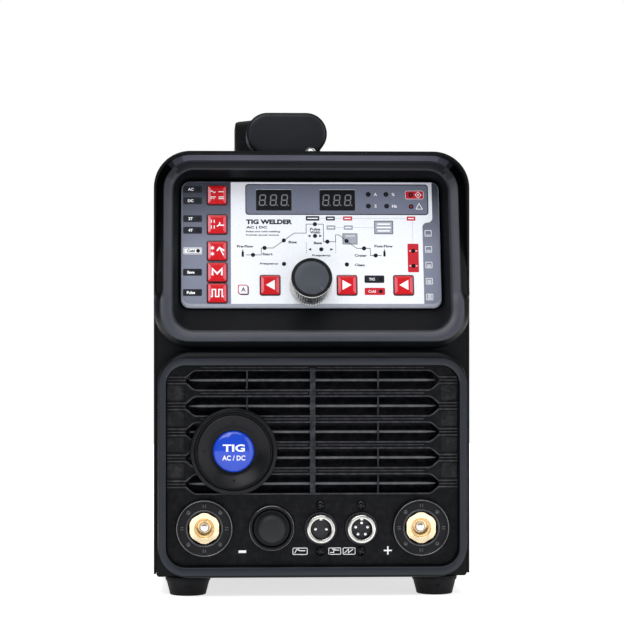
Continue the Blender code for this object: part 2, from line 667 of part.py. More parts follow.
def make_switch():
    x, z = SWITCH_PLACE
    place = dict(location=at(x, CASE_BACK, z), rotation=FACING_BACK)
    body = box("power_switch_body", (0.0274, 0.0194, 0.024), "dark", location=at(x, CASE_BACK - 0.011, z),
               rotation=FACING_BACK)
    join(body, boxes("switch_flange", [((0.031, 0.023, 0.0018), (0, 0, GAP + 0.0009))], None, **place))
    cut(body, boxes("switch_pocket", [((0.0240, 0.0160, 0.0140), (0, 0, -0.0005))], None, **place))
    box("power_rocker", (0.0224, 0.0148, 0.0070), "key", bevel=0.0008, location=at(x, CASE_BACK + 0.0005, z),
        rotation=(-math.pi / 2, 0.0, SWITCH_TILT))


def make_rear_fittings():
    def outside(place):
        return dict(location=at(place[0], CASE_BACK, place[1]), rotation=FACING_BACK)

    bore = 0.0052
    gland = [(bore, 0.0225), (0.0085, 0.0225), (0.0105, 0.0190), (0.0118, 0.0120), (0.0118, 0.0050),
             (0.0130, 0.0050), (0.0130, GAP), (0.0080, GAP), (0.0080, -0.012), (bore, -0.012)]
    turned("mains_cable_gland", gland, "dark", **outside(GLAND_PLACE))
    bore = 0.0020
    nozzle = [(bore, 0.0255), (0.0030, 0.0255), (0.0042, 0.0225), (0.0034, 0.0223), (0.0042, 0.0175),
              (0.0034, 0.0173), (0.0042, 0.0125), (0.0034, 0.0123), (0.0034, 0.0070), (0.0080, 0.0070),
              (0.0080, GAP), (0.0050, GAP), (0.0050, -0.010), (bore, -0.010)]
    turned("gas_inlet_nozzle", nozzle, "brass", steps=16, **outside(GAS_INLET_PLACE))
    stud = [(0, 0.0140), (0.0030, 0.0140), (0.0030, 0.0058), (0.0055, 0.0054), (0.0058, 0.0010),
            (0.0072, 0.0010), (0.0072, GAP), (0.0030, GAP), (0.0030, -0.010), (0, -0.010)]
    turned("earth_stud", stud, "brass", steps=16, **outside(STUD_PLACE))


# ------------------------------------------------------------------ inside
def make_insides():
    floor = CASE_BOTTOM + SHEET + GAP
    wall_x = -0.050
    heatsink = box("heatsink", (0.008, 0.230, 0.200), "aluminium", location=at(wall_x, 0.235, floor + 0.100))
    fins = [((0.036, 0.230, 0.0024), (-0.021, 0, 0.0125 * i - 0.094)) for i in range(16)]
    join(heatsink, boxes("heatsink_fins", fins, None, location=heatsink.location))

    board_x = wall_x + 0.004 + GAP + 0.0008
    board = box("power_board", (0.0016, 0.220, 0.180), "board", location=at(board_x, 0.235, floor + 0.110))
    capacitors = cylinders("capacitors", [(0.0140, (0.04 * i - 0.06, 0.055), 0.0, 0.046) for i in range(4)],
                           None, 20, location=board.location, rotation=(math.pi / 2, 0, math.pi / 2))
    join(board, capacitors)

    core = box("main_transformer", (0.052, 0.060, 0.070), "dark", bevel=0.002,
               location=at(0.012, 0.200, floor + 0.035))
    join(core, cylinders("transformer_winding", [(0.034, (0, 0), -0.026, 0.026)], None, 24,
                         location=at(0.012, 0.200, floor + 0.035), rotation=FACING_FRONT))

    ring = 0.026
    for name, x, depth, radius, height in (("output_inductor", 0.066, 0.300, ring, 0.048),
                                           ("high_frequency_coil", 0.062, 0.110, 0.022, 0.040)):
        profile = [(radius - 0.014, height), (radius - 0.004, height), (radius, height - 0.004),
                   (radius, 0.004), (radius - 0.004, 0), (radius - 0.014, 0)]
        turned(name, profile, "winding", steps=20, location=at(x, depth, floor))

    valve = box("gas_solenoid_valve", (0.024, 0.034, 0.026), "steel", bevel=0.001,
                location=at(GAS_INLET_PLACE[0] + 0.028, 0.392, floor + 0.013))
    join(valve, cylinders("valve_coil", [(0.0095, (0, 0), 0.0, 0.030)], None, 20, location=valve.location))


def main():
    clearance = hood_clearance()
    make_hood()
    frame = make_panel_frame()
    make_control_panel(frame)
    make_control_board(frame)
    make_knob(frame)
    make_lower_front()
    make_chassis_plate(clearance)
    make_sockets()
    make_gas_outlet()
    make_connectors()
    make_badge()
    make_cover(clearance)
    make_base()
    make_rear_panel()
    make_feet()
    make_handle()
    make_fan()
    make_fan_guard()
    make_switch()
    make_rear_fittings()
    make_insides()


main()
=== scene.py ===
"""Looks of the TIG welding machine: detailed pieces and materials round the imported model.

Metres, +Z up, the front faces -Y. Drawings on the front and on the control panel are laid out in
millimetres, in frames of their own (see FRONT and PANEL below).
"""
import json
import math

import bmesh
import bpy
from mathutils import Matrix, Vector


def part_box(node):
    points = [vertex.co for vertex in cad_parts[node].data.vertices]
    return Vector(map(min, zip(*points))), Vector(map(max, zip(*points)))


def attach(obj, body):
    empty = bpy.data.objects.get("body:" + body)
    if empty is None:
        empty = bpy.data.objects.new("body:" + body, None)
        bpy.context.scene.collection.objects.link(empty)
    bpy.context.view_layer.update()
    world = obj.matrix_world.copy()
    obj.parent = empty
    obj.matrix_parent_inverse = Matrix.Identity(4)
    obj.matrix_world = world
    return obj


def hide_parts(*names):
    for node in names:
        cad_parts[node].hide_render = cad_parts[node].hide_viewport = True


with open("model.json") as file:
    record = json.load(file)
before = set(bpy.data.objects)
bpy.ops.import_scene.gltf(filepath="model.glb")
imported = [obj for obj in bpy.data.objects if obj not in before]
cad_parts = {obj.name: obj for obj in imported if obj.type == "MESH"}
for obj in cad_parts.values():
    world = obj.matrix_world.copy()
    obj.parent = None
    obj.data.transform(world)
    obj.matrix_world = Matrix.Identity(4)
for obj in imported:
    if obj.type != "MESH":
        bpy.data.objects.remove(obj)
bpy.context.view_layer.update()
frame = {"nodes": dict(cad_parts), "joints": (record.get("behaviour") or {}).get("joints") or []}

MM = 0.001
NODES = frame["nodes"]
JOINTS = {joint["name"]: joint for joint in frame["joints"]}


def centre_of(node):
    low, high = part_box(node)
    return (low + high) / 2


# ------------------------------------------------------------------ frames of the drawings
# FRONT: x across, y up from the floor, z out of the machine, with z = 0 on the lower front's rim.
# PANEL: x across, y up the slope, z out of the panel's face, with the origin at the face's middle.
# BACK: x to the left seen from the front, y up, z out of the rear panel's outer face.
RIM_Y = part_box("lower_front_bezel")[0].y
REAR_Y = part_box("rear_panel")[1].y
NORMAL = Vector(JOINTS["knob_turn"]["axis"]).normalized()
LEAN = math.atan2(NORMAL.z, -NORMAL.y)
PANEL_THICK = 2.0
to_mm = Matrix.Scale(MM, 4)
FRONT = Matrix.Translation((0, RIM_Y, 0)) @ Matrix.Rotation(math.pi / 2, 4, "X") @ to_mm
BACK = (Matrix.Translation((0, REAR_Y, 0)) @ Matrix.Rotation(math.pi, 4, "Z")
        @ Matrix.Rotation(math.pi / 2, 4, "X") @ to_mm)
PANEL = (Matrix.Translation(centre_of("control_panel_plate") + NORMAL * PANEL_THICK * MM / 2)
         @ Matrix.Rotation(math.pi / 2 - LEAN, 4, "X") @ to_mm)
FLAT = to_mm                                   # x, y and z of the machine itself, in millimetres


def in_frame(node, matrix):
    """The lowest and highest corners of a node in one of the frames, in millimetres."""
    inverse = matrix.inverted()
    points = [inverse @ v.co for v in NODES[node].data.vertices]
    return (Vector(min(p[i] for p in points) for i in range(3)),
            Vector(max(p[i] for p in points) for i in range(3)))


def middle(node, matrix):
    low, high = in_frame(node, matrix)
    return (low + high) / 2


def placed(node, matrix):
    """A node's lowest and highest corners and the x, y of its middle."""
    low, high = in_frame(node, matrix)
    return low, high, ((low.x + high.x) / 2, (low.y + high.y) / 2)


# ------------------------------------------------------------------ materials
class Shader:
    """A Principled material with helpers for procedural detail in object space."""

    def __init__(self, name, colour, roughness, metallic=0.0, **sockets):
        self.material = bpy.data.materials.new(name)
        self.material.use_nodes = True
        self.tree = self.material.node_tree
        self.bsdf = self.tree.nodes["Principled BSDF"]
        self.bsdf.inputs["Base Color"].default_value = (*colour, 1.0)
        self.bsdf.inputs["Roughness"].default_value = roughness
        self.bsdf.inputs["Metallic"].default_value = metallic
        for socket, value in sockets.items():
            self.bsdf.inputs[socket.replace("_", " ")].default_value = value
        self.coords = self.node("ShaderNodeTexCoord").outputs["Object"]
        self.height = None

    def node(self, kind, **settings):
        node = self.tree.nodes.new(kind)
        for key, value in settings.items():
            setattr(node, key, value)
        return node

    def link(self, out, into):
        self.tree.links.new(out, into)

    def stretched(self, scale):
        mapping = self.node("ShaderNodeMapping")
        mapping.inputs["Scale"].default_value = scale
        self.link(self.coords, mapping.inputs["Vector"])
        return mapping.outputs["Vector"]

    def noise(self, scale, detail=3.0, rough=0.55, stretch=None):
        noise = self.node("ShaderNodeTexNoise")
        noise.inputs["Scale"].default_value = scale
        noise.inputs["Detail"].default_value = detail
        noise.inputs["Roughness"].default_value = rough
        self.link(self.stretched(stretch) if stretch else self.coords, noise.inputs["Vector"])
        return noise.outputs["Fac"]

    def cells(self, scale, feature="F1"):
        cells = self.node("ShaderNodeTexVoronoi", feature=feature)
        cells.inputs["Scale"].default_value = scale
        self.link(self.coords, cells.inputs["Vector"])
        return cells.outputs["Distance"]

    def spread(self, value, low, high, new_low, new_high):
        ramp = self.node("ShaderNodeMapRange")
        limits = {"From Min": low, "From Max": high, "To Min": new_low, "To Max": new_high}
        for socket, number in limits.items():
            ramp.inputs[socket].default_value = number
        self.link(value, ramp.inputs["Value"])
        return ramp.outputs["Result"]

    def mix(self, factor, a, b):
        mix = self.node("ShaderNodeMix", data_type="RGBA")
        self.link(factor, mix.inputs[0])
        for socket, colour in ((mix.inputs[6], a), (mix.inputs[7], b)):
            if isinstance(colour, tuple):
                socket.default_value = (*colour, 1.0)
            else:
                self.link(colour, socket)
        return mix.outputs[2]

    def clouds(self, scale, detail=5.0):
        """A soft field between 0 and 1 that blends two tones of a colour."""
        return self.spread(self.noise(scale, detail), 0.35, 0.7, 0.0, 1.0)

    def colour(self, value):
        self.link(value, self.bsdf.inputs["Base Color"])

    def roughness(self, value, low, high, new_low, new_high):
        self.link(self.spread(value, low, high, new_low, new_high), self.bsdf.inputs["Roughness"])

    def bump(self, value, distance, strength=1.0):
        bump = self.node("ShaderNodeBump")
        bump.inputs["Strength"].default_value = strength
        bump.inputs["Distance"].default_value = distance
        self.link(value, bump.inputs["Height"])
        if self.height is not None:
            self.link(self.height, bump.inputs["Normal"])
        self.height = bump.outputs["Normal"]
        self.link(self.height, self.bsdf.inputs["Normal"])

    def edge_wear(self, start, end):
        """0 on flat faces, 1 on worn convex edges, broken up by a fine noise."""
        point = self.node("ShaderNodeNewGeometry").outputs["Pointiness"]
        edge = self.spread(point, start, end, 0.0, 1.0)
        rub = self.spread(self.noise(220.0, 4.0), 0.42, 0.62, 0.0, 1.0)
        product = self.node("ShaderNodeMath", operation="MULTIPLY", use_clamp=True)
        self.link(edge, product.inputs[0])
        self.link(rub, product.inputs[1])
        return product.outputs[0]


def times(factor, colour):
    """A colour made brighter or darker."""
    return tuple(factor * c for c in colour)


GRAIN_DEPTH = 0.00003


def moulded(name, colour, worn, roughness, grain, sheen):
    """Injection-moulded plastic: a fine spark-eroded grain, flow clouds and rubbed edges."""
    s = Shader(name, colour, roughness, Specular_IOR_Level=sheen)
    flow = s.spread(s.noise(18.0, 4.0), 0.35, 0.7, 0.0, 0.6)
    base = s.mix(flow, colour, times(1.35, colour))
    s.colour(s.mix(s.edge_wear(0.53, 0.60), base, worn))
    s.roughness(s.noise(55.0, 5.0), 0.3, 0.7, roughness - 0.06, roughness + 0.07)
    s.bump(s.noise(grain, 2.0), GRAIN_DEPTH, 0.5)
    s.bump(s.noise(grain * 0.28, 2.0), GRAIN_DEPTH, 0.25)
    return s.material


def powder_coat(name, colour, roughness):
    """Textured powder paint on steel: an orange-peel of small blisters."""
    s = Shader(name, colour, roughness, Specular_IOR_Level=0.14)
    patches = s.spread(s.noise(60.0, 5.0), 0.3, 0.7, 0.0, 1.0)
    s.colour(s.mix(patches, colour, times(1.25, colour)))
    s.roughness(s.noise(420.0, 3.0), 0.3, 0.7, roughness - 0.03, roughness + 0.04)
    s.bump(s.cells(900.0, "SMOOTH_F1"), 0.00004, 0.3)
    s.bump(s.noise(2400.0, 2.0), 0.00002, 0.3)
    return s.material


def machined(name, colour, roughness, stretch=(1.0, 1.0, 1.0), tarnish=None):
    """Turned or drawn metal: fine tool lines, faint smears and a little tarnish."""
    s = Shader(name, colour, roughness, metallic=1.0)
    s.colour(s.mix(s.clouds(60.0), colour, tarnish or times(0.82, colour)))
    s.roughness(s.noise(300.0, 4.0, stretch=stretch), 0.3, 0.7, roughness - 0.06, roughness + 0.10)
    s.bump(s.noise(700.0, 2.0, stretch=stretch), 0.000012, 0.6)
    return s.material


def printed(name, colour, roughness=0.32, coat=0.1, sheen=0.2):
    """Screen print under a clear film: tiny ink mottling and the film's gentle waviness."""
    s = Shader(name, colour, roughness, Coat_Weight=coat, Coat_Roughness=0.12, Specular_IOR_Level=sheen)
    mottle = s.spread(s.noise(900.0, 3.0), 0.3, 0.7, 0.0, 1.0)
    s.colour(s.mix(mottle, times(0.94, colour), times(1.04, colour)))
    s.roughness(s.noise(90.0, 3.0), 0.3, 0.7, roughness - 0.05, roughness + 0.06)
    s.bump(s.noise(1800.0, 2.0), 0.000015, 0.35)
    s.bump(s.noise(28.0, 2.0), 0.00012, 0.12)
    return s.material


def print_with_painted_shade(name, dark, pale, heights):
    """A grey printed field under painted shade: dark at the first height, pale at the second, where the
    hood's shadow falls.
    """
    s = Shader(name, pale, 0.32, Coat_Weight=0.1, Coat_Roughness=0.12, Specular_IOR_Level=0.2)
    split = s.node("ShaderNodeSeparateXYZ")
    s.link(s.coords, split.inputs["Vector"])
    s.colour(s.mix(s.spread(split.outputs["Z"], *heights, 0.0, 1.0), dark, pale))
    s.roughness(s.noise(90.0, 3.0), 0.3, 0.7, 0.27, 0.38)
    s.bump(s.noise(1800.0, 2.0), 0.000015, 0.35)
    return s.material


def rubber(name, colour, roughness=0.72):
    """Moulded rubber with a trace of dust."""
    s = Shader(name, colour, roughness, Sheen_Weight=0.04, Sheen_Roughness=0.5, Specular_IOR_Level=0.15)
    dust = s.spread(s.noise(40.0, 6.0), 0.48, 0.75, 0.0, 1.0)
    s.colour(s.mix(dust, colour, tuple(2.0 * c + 0.002 for c in colour)))
    s.roughness(s.noise(260.0, 4.0), 0.3, 0.7, roughness - 0.08, roughness + 0.08)
    s.bump(s.noise(1100.0, 3.0), 0.00005, 0.5)
    return s.material


def resin(name, colour, roughness=0.08, coat=1.0):
    """Domed clear resin over a printed label."""
    s = Shader(name, colour, 0.35, Coat_Weight=coat, Coat_Roughness=roughness, Specular_IOR_Level=0.1)
    s.colour(s.mix(s.clouds(35.0, 3.0), colour, times(1.25, colour)))
    s.roughness(s.noise(400.0, 3.0), 0.3, 0.7, 0.30, 0.42)
    s.bump(s.noise(60.0, 2.0), 0.00003, 0.25)
    return s.material


def circuit(name):
    """Solder resist over copper tracks."""
    s = Shader(name, (0.010, 0.10, 0.045), 0.4, Coat_Weight=0.4, Coat_Roughness=0.2)
    tracks = s.spread(s.cells(160.0, "DISTANCE_TO_EDGE"), 0.02, 0.06, 1.0, 0.0)
    s.colour(s.mix(tracks, (0.008, 0.085, 0.038), (0.02, 0.17, 0.08)))
    s.roughness(s.noise(300.0, 4.0), 0.3, 0.7, 0.32, 0.5)
    s.bump(tracks, 0.00004, 0.6)
    return s.material


def varnished_wire(name):
    """Enamelled wire wound tight: round bands across the piece, with varnish between."""
    s = Shader(name, (0.45, 0.17, 0.06), 0.3, metallic=0.7, Coat_Weight=0.6, Coat_Roughness=0.15)
    wave = s.node("ShaderNodeTexWave", wave_type="BANDS", bands_direction="Z", wave_profile="SIN")
    wave.inputs["Scale"].default_value = 190.0
    wave.inputs["Distortion"].default_value = 0.4
    s.link(s.coords, wave.inputs["Vector"])
    bands = s.spread(wave.outputs["Fac"], 0.1, 0.9, 0.0, 1.0)
    s.colour(s.mix(bands, (0.12, 0.035, 0.012), (0.52, 0.20, 0.07)))
    s.roughness(s.noise(220.0, 4.0), 0.3, 0.7, 0.24, 0.42)
    s.bump(wave.outputs["Fac"], 0.0004, 0.8)
    return s.material


# moulded plastics: name, colour, colour of rubbed edges, roughness, sheen and, where special, grain
PLASTICS = {
    "bezel": ("bezel_plastic", (0.008, 0.0088, 0.0118), (0.030, 0.031, 0.038), 0.36, 0.25),
    # painted shade: a near-black copy of the bezel plastic for recesses, slots and faces turned from the
    # light
    "bezel_deep": ("bezel_plastic_deep", (0.0018, 0.0022, 0.0030), (0.008, 0.008, 0.010), 0.42, 0.12),
    # painted highlights: lighter copies of the bezel plastic where light falls on the hood's rim, palest
    # along its top
    "bezel_band": ("bezel_plastic_band", (0.040, 0.042, 0.054), (0.065, 0.066, 0.08), 0.38, 0.3),
    "bezel_crown": ("bezel_plastic_crown", (0.285, 0.290, 0.375), (0.32, 0.32, 0.40), 0.36, 0.5),
    "bezel_turn": ("bezel_plastic_turn", (0.150, 0.153, 0.200), (0.18, 0.18, 0.22), 0.36, 0.4),
    # painted highlight on the flat band of the lower rim
    "bezel_rim": ("bezel_plastic_rim", (0.011, 0.0135, 0.0190), (0.030, 0.032, 0.040), 0.36, 0.3),
    # painted highlight on the raised marks round the sockets
    "bezel_mark_lit": ("bezel_plastic_marks", (0.022, 0.023, 0.028), (0.05, 0.05, 0.06), 0.30, 0.5),
    # painted shade on the hood's inner band along its top
    "bezel_inner": ("bezel_plastic_inner", (0.008, 0.009, 0.013), (0.02, 0.02, 0.026), 0.40, 0.15),
    # painted highlights on the hood's edges and ridges and on the slot outlines
    "bezel_edge": ("bezel_plastic_edge", (0.022, 0.023, 0.029), (0.05, 0.05, 0.06), 0.36, 0.3),
    "bezel_line": ("bezel_plastic_ridges", (0.013, 0.014, 0.018), (0.04, 0.04, 0.048), 0.36, 0.3),
    # painted highlight along the front lips of the louvre blades
    "bezel_lip_lit": ("bezel_plastic_lips", (0.065, 0.066, 0.072), (0.10, 0.10, 0.11), 0.36, 0.5),
    # painted shade in the pockets beside the slots
    "bezel_pocket_shade": ("bezel_plastic_pockets", (0.0035, 0.004, 0.0048), (0.02, 0.02, 0.024), 0.38, 0.2),
    "cap_dome": ("dust_cap_rubber", (0.012, 0.0125, 0.0145), (0.03, 0.03, 0.036), 0.55, 0.25),
    "black": ("black_plastic", (0.003, 0.0032, 0.004), (0.016, 0.017, 0.020), 0.34, 0.2),
    "handle": ("handle_plastic", (0.014, 0.015, 0.019), (0.035, 0.036, 0.042), 0.38, 0.35, 1100.0),
    "cap_grey": ("knob_cap_plastic", (0.042, 0.047, 0.058), (0.10, 0.11, 0.12), 0.42, 0.3, 2200.0),
}
USUAL_GRAIN = 1500.0
MATS = {key: moulded(name, colour, worn, roughness, (*grain, USUAL_GRAIN)[0], sheen=sheen)
        for key, (name, colour, worn, roughness, sheen, *grain) in PLASTICS.items()}
MATS |= {
    "case": powder_coat("painted_case", (0.0030, 0.0033, 0.0042), 0.46),
    "rubber": rubber("black_rubber", (0.0022, 0.0023, 0.0030)),
    "brass": machined("brass", (0.98, 0.82, 0.58), 0.22, (1.0, 6.0, 1.0), (0.95, 0.76, 0.48)),
    "bright": machined("bright_metal", (0.70, 0.69, 0.66), 0.20, (1.0, 8.0, 1.0)),
    "pin": machined("silver_pin", (0.88, 0.88, 0.90), 0.12),
    "dull_steel": machined("dull_steel", (0.16, 0.16, 0.17), 0.22),
    "steel": machined("steel", (0.50, 0.51, 0.53), 0.34, (1.0, 1.0, 5.0)),
    "knurl": machined("knob_aluminium", (0.72, 0.71, 0.68), 0.26, (1.0, 1.0, 1.0), (0.50, 0.49, 0.46)),
    "aluminium": machined("aluminium", (0.62, 0.63, 0.65), 0.38, (1.0, 6.0, 1.0)),
    "screw": machined("blackened_screw", (0.030, 0.030, 0.034), 0.14),
    "board": circuit("circuit_board"),
    "winding": varnished_wire("copper_winding"),
    "panel": printed("panel_overlay", (0.78, 0.80, 0.85)),
    "panel_grey": printed("panel_print_grey", (0.15, 0.165, 0.225)),
    # grey strips printed on the overlay, darker towards the top with painted shade of the hood
    "panel_strip_shaded": print_with_painted_shade("panel_print_strip_painted_shade", (0.040, 0.046, 0.066), (0.19, 0.205, 0.27),
                                (0.278, 0.240)),
    "panel_mid": printed("panel_print_mid", (0.33, 0.35, 0.41)),
    "print_white": printed("print_white", (0.86, 0.87, 0.90)),
    "print_black": printed("print_black", (0.004, 0.004, 0.006)),
    "print_dark": printed("print_dark", (0.013, 0.015, 0.022)),
    "print_red": printed("print_red", (0.50, 0.018, 0.030)),
    "key": printed("red_key", (0.56, 0.004, 0.010), 0.26, 0.7),
    "key_rim": printed("red_key_rim", (0.16, 0.004, 0.008), 0.35, 0.4),
    # painted highlight: a paler red for the keys' side slopes
    "key_painted_highlight": printed("red_key_pale", (0.66, 0.10, 0.13), 0.26, 0.7),
    "window": resin("display_window", (0.004, 0.0042, 0.006), 0.05, 0.3),
    "segment": printed("display_segment", (0.20, 0.21, 0.22), 0.5, 0.0),
    "badge": resin("blue_badge", (0.004, 0.045, 0.46)),
}


# ------------------------------------------------------------------ mesh helpers
def finish_mesh(name, bm, matrix, material, body="root", smooth=None):
    """One piece from a bmesh drawn in a frame's millimetres; smooth is its sharp-edge angle."""
    bm.transform(matrix)
    bmesh.ops.recalc_face_normals(bm, faces=bm.faces)
    mesh = bpy.data.meshes.new(name)
    bm.to_mesh(mesh)
    bm.free()
    mesh.materials.append(MATS[material])
    if smooth is not None:
        mesh.shade_smooth()
        mesh.set_sharp_from_angle(angle=math.radians(smooth))
    obj = bpy.data.objects.new(name, mesh)
    bpy.context.scene.collection.objects.link(obj)
    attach(obj, body)
    return obj


def paint(obj, choose):
    """Gives each face the material that choose(face index, face centre in metres) names."""
    chosen = [choose(face.index, face.center) for face in obj.data.polygons]
    names = sorted(set(chosen))
    obj.data.materials.clear()
    for name in names:
        obj.data.materials.append(MATS[name])
    for face, name in zip(obj.data.polygons, chosen):
        face.material_index = names.index(name)


def arc(centre, radius, start, end, steps):
    angles = (math.radians(start + (end - start) * i / steps) for i in range(steps + 1))
    return [(centre[0] + radius * math.cos(a), centre[1] + radius * math.sin(a)) for a in angles]


def rounded_rect(x0, x1, y0, y1, radius, steps=8):
    """Points anticlockwise from the lower right corner, one more than steps at each corner."""
    corners = (((x1 - radius, y0 + radius), -90), ((x1 - radius, y1 - radius), 0),
               ((x0 + radius, y1 - radius), 90), ((x0 + radius, y0 + radius), 180))
    return [point for centre, start in corners for point in arc(centre, radius, start, start + 90, steps)]


def circle(x, y, radius, steps=48):
    return arc((x, y), radius, 0, 360 * (steps - 1) / steps, steps - 1)


def boxed(centre, size):
    """The four limits of a rectangle from its centre and its size."""
    (x, y), (w, h) = centre, size
    return x - w / 2, x + w / 2, y - h / 2, y + h / 2


def bridge(bm, a, b):
    """Faces between two closed rings of vertices."""
    for i in range(len(a)):
        j = (i + 1) % len(a)
        bm.faces.new((a[i], a[j], b[j], b[i]))


def add_loft(bm, rings, capped=True):
    """Rings of 3D points joined in order: capped at both ends, or closed into a loop."""
    loops = [[bm.verts.new(point) for point in ring] for ring in rings]
    for a, b in zip(loops, loops[1:]):
        bridge(bm, a, b)
    if capped:
        bm.faces.new(loops[0])
        bm.faces.new(loops[-1])
    else:
        bridge(bm, loops[-1], loops[0])


def level(points, z):
    return [(x, y, z) for x, y in points]


def add_prism(bm, points, low, high, bevel=0.0):
    """An upright prism on an outline, its upper edge eased by bevel towards the outline's middle."""
    rings = [level(points, low), level(points, high - bevel)]
    if bevel:
        cx = sum(x for x, _ in points) / len(points)
        cy = sum(y for _, y in points) / len(points)
        reach = max(max(abs(x - cx), abs(y - cy)) for x, y in points)
        k = 1 - bevel / reach
        rings.append(level([(cx + (x - cx) * k, cy + (y - cy) * k) for x, y in points], high))
    add_loft(bm, rings)


def add_frame(bm, outer, inner, low, high):
    """A flat ring between two outlines with the same number of points."""
    add_loft(bm, [level(outer, low), level(outer, high), level(inner, high), level(inner, low)], False)


def add_turned(bm, profile, steps=64, centre=(0.0, 0.0), radius_of=None):
    """A solid of revolution about z from (radius, height) points; it closes on the axis or in a loop."""
    closed = profile[0][0] > 0
    rings = []
    for radius, height in profile:
        if radius == 0:
            rings.append([bm.verts.new((centre[0], centre[1], height))])
            continue
        ring = []
        for i in range(steps):
            angle = 2 * math.pi * i / steps
            r = radius_of(radius, height, i) if radius_of else radius
            x, y = centre[0] + r * math.cos(angle), centre[1] + r * math.sin(angle)
            ring.append(bm.verts.new((x, y, height)))
        rings.append(ring)
    pairs = list(zip(rings, rings[1:])) + ([(rings[-1], rings[0])] if closed else [])
    for a, b in pairs:
        if len(a) == 1 or len(b) == 1:
            tip, ring = (a[0], b) if len(a) == 1 else (b[0], a)
            for i in range(len(ring)):
                bm.faces.new((tip, ring[i], ring[(i + 1) % len(ring)]))
        else:
            bridge(bm, a, b)


def turned_piece(name, profile, steps, centre, matrix, material, body="root", smooth=35):
    """A piece that is one solid of revolution."""
    bm = bmesh.new()
    add_turned(bm, profile, steps, centre)
    return finish_mesh(name, bm, matrix, material, body, smooth)


def add_stroke(bm, points, width, low, high):
    """A printed line: a strip of even width along a polyline, with mitred corners."""
    def offset(i, side):
        p = Vector(points[i])
        into = (p - Vector(points[i - 1])).normalized() if i > 0 else None
        out = (Vector(points[i + 1]) - p).normalized() if i < len(points) - 1 else None
        into, out = into or out, out or into
        normal = Vector((-(into + out).y, (into + out).x)).normalized()
        reach = width / 2 / max(0.5, normal.dot(Vector((-into.y, into.x))))
        return p + normal * reach * side
    left = [offset(i, 1) for i in range(len(points))]
    right = [offset(i, -1) for i in range(len(points))]
    for i in range(len(points) - 1):
        quad = (left[i], right[i], right[i + 1], left[i + 1])
        add_loft(bm, [level([tuple(p) for p in quad], low), level([tuple(p) for p in quad], high)])


def add_text(bm, words, centre, height, low, high, bold=0.0, width=None, align="CENTER"):
    """Raised lettering in the built-in face, set by its capital height and, if given, its width."""
    curve = bpy.data.curves.new("lettering", "FONT")
    curve.body = words
    curve.align_x = align
    curve.align_y = "CENTER"
    curve.offset = bold
    curve.resolution_u = 3
    curve.extrude = 0.5
    obj = bpy.data.objects.new("lettering", curve)
    bpy.context.scene.collection.objects.link(obj)
    mesh = mesh_of(obj)
    bpy.data.objects.remove(obj, do_unlink=True)
    xs = [v.co.x for v in mesh.vertices]
    ys = [v.co.y for v in mesh.vertices]
    scale = height / (max(ys) - min(ys))
    stretch = width / (max(xs) - min(xs)) if width else scale
    middle_x = (max(xs) + min(xs)) / 2 if align == "CENTER" else min(xs)
    middle_y = (max(ys) + min(ys)) / 2
    for v in mesh.vertices:
        v.co = (centre[0] + (v.co.x - middle_x) * stretch, centre[1] + (v.co.y - middle_y) * scale,
                low + (v.co.z + 0.5) * (high - low))
    bm.from_mesh(mesh)
    bpy.data.meshes.remove(mesh)


def mesh_of(obj):
    """What an object looks like with its curve filled or its modifiers applied."""
    return bpy.data.meshes.new_from_object(obj.evaluated_get(bpy.context.evaluated_depsgraph_get()))


def ease_edges(node, width, segments):
    bevel = NODES[node].modifiers.new("eased", "BEVEL")
    bevel.width, bevel.segments, bevel.limit_method = width, segments, "ANGLE"


def give(material, *nodes):
    """A carried-over CAD node takes a detailed material in its own slots."""
    for node in nodes:
        slots = NODES[node].data.materials
        if len(slots) == 0:
            slots.append(MATS[material])
        for i in range(len(slots)):
            slots[i] = MATS[material]


# ------------------------------------------------------------------ control hood
HOOD_LOW, HOOD_HIGH = in_frame("upper_hood_bezel", FLAT)
HOOD_BACK_Y = RIM_Y / MM + 46.0                # where the hood meets the case cover
HOOD_FRONT_Y = HOOD_LOW.y                      # the ridge at the hood's foot
HOOD_CORNER = 26.0
VISOR_END = (201.5, 206.5)                     # heights between which the visor lip runs out
FLARE_END = (200.5, 209.0)                     # and between which the rim's ridge swings outwards
SEAT = 16.6                                    # depth of the panel's seat behind the ridge


def hood_outline(side, top, bottom, radius, steps=10, upright=44, across=10):
    """The hood's outline inset by three margins, with extra points along its straight runs."""
    x, low, high = HOOD_HIGH.x - side, HOOD_LOW.z + bottom, HOOD_HIGH.z - top
    corners = rounded_rect(-x, x, low, high, radius, steps)
    points = []
    for k, count in enumerate((upright, across, upright, across)):
        corner = corners[k * (steps + 1):(k + 1) * (steps + 1)]
        after = corners[((k + 1) * (steps + 1)) % len(corners)]
        points += corner
        a = corner[-1]
        points += [(a[0] + (after[0] - a[0]) * i / count, a[1] + (after[1] - a[1]) * i / count)
                   for i in range(1, count)]
    return points


def eased(z, heights):
    """0 below the first height, 1 above the second, with a smooth S between."""
    t = min(1.0, max(0.0, (z - heights[0]) / (heights[1] - heights[0])))
    return t * t * (3 - 2 * t)


def hood_ring(margins, radius, visor, foot=None, flare=0.0):
    """A ring on the leaning front: visor deep above the visor's end; foot deep and wider below it."""
    foot = visor if foot is None else foot
    ring = []
    for x, z in hood_outline(*margins, radius):
        depth = foot + (visor - foot) * eased(z, VISOR_END)
        wider = 1 + flare * (1 - eased(z, FLARE_END)) / HOOD_HIGH.x
        ring.append((x * wider, HOOD_FRONT_Y + depth + math.tan(LEAN) * (z - HOOD_LOW.z), z))
    return ring


def flat_ring(margins, radius, y):
    return [(x, y, z) for x, z in hood_outline(*margins, radius)]


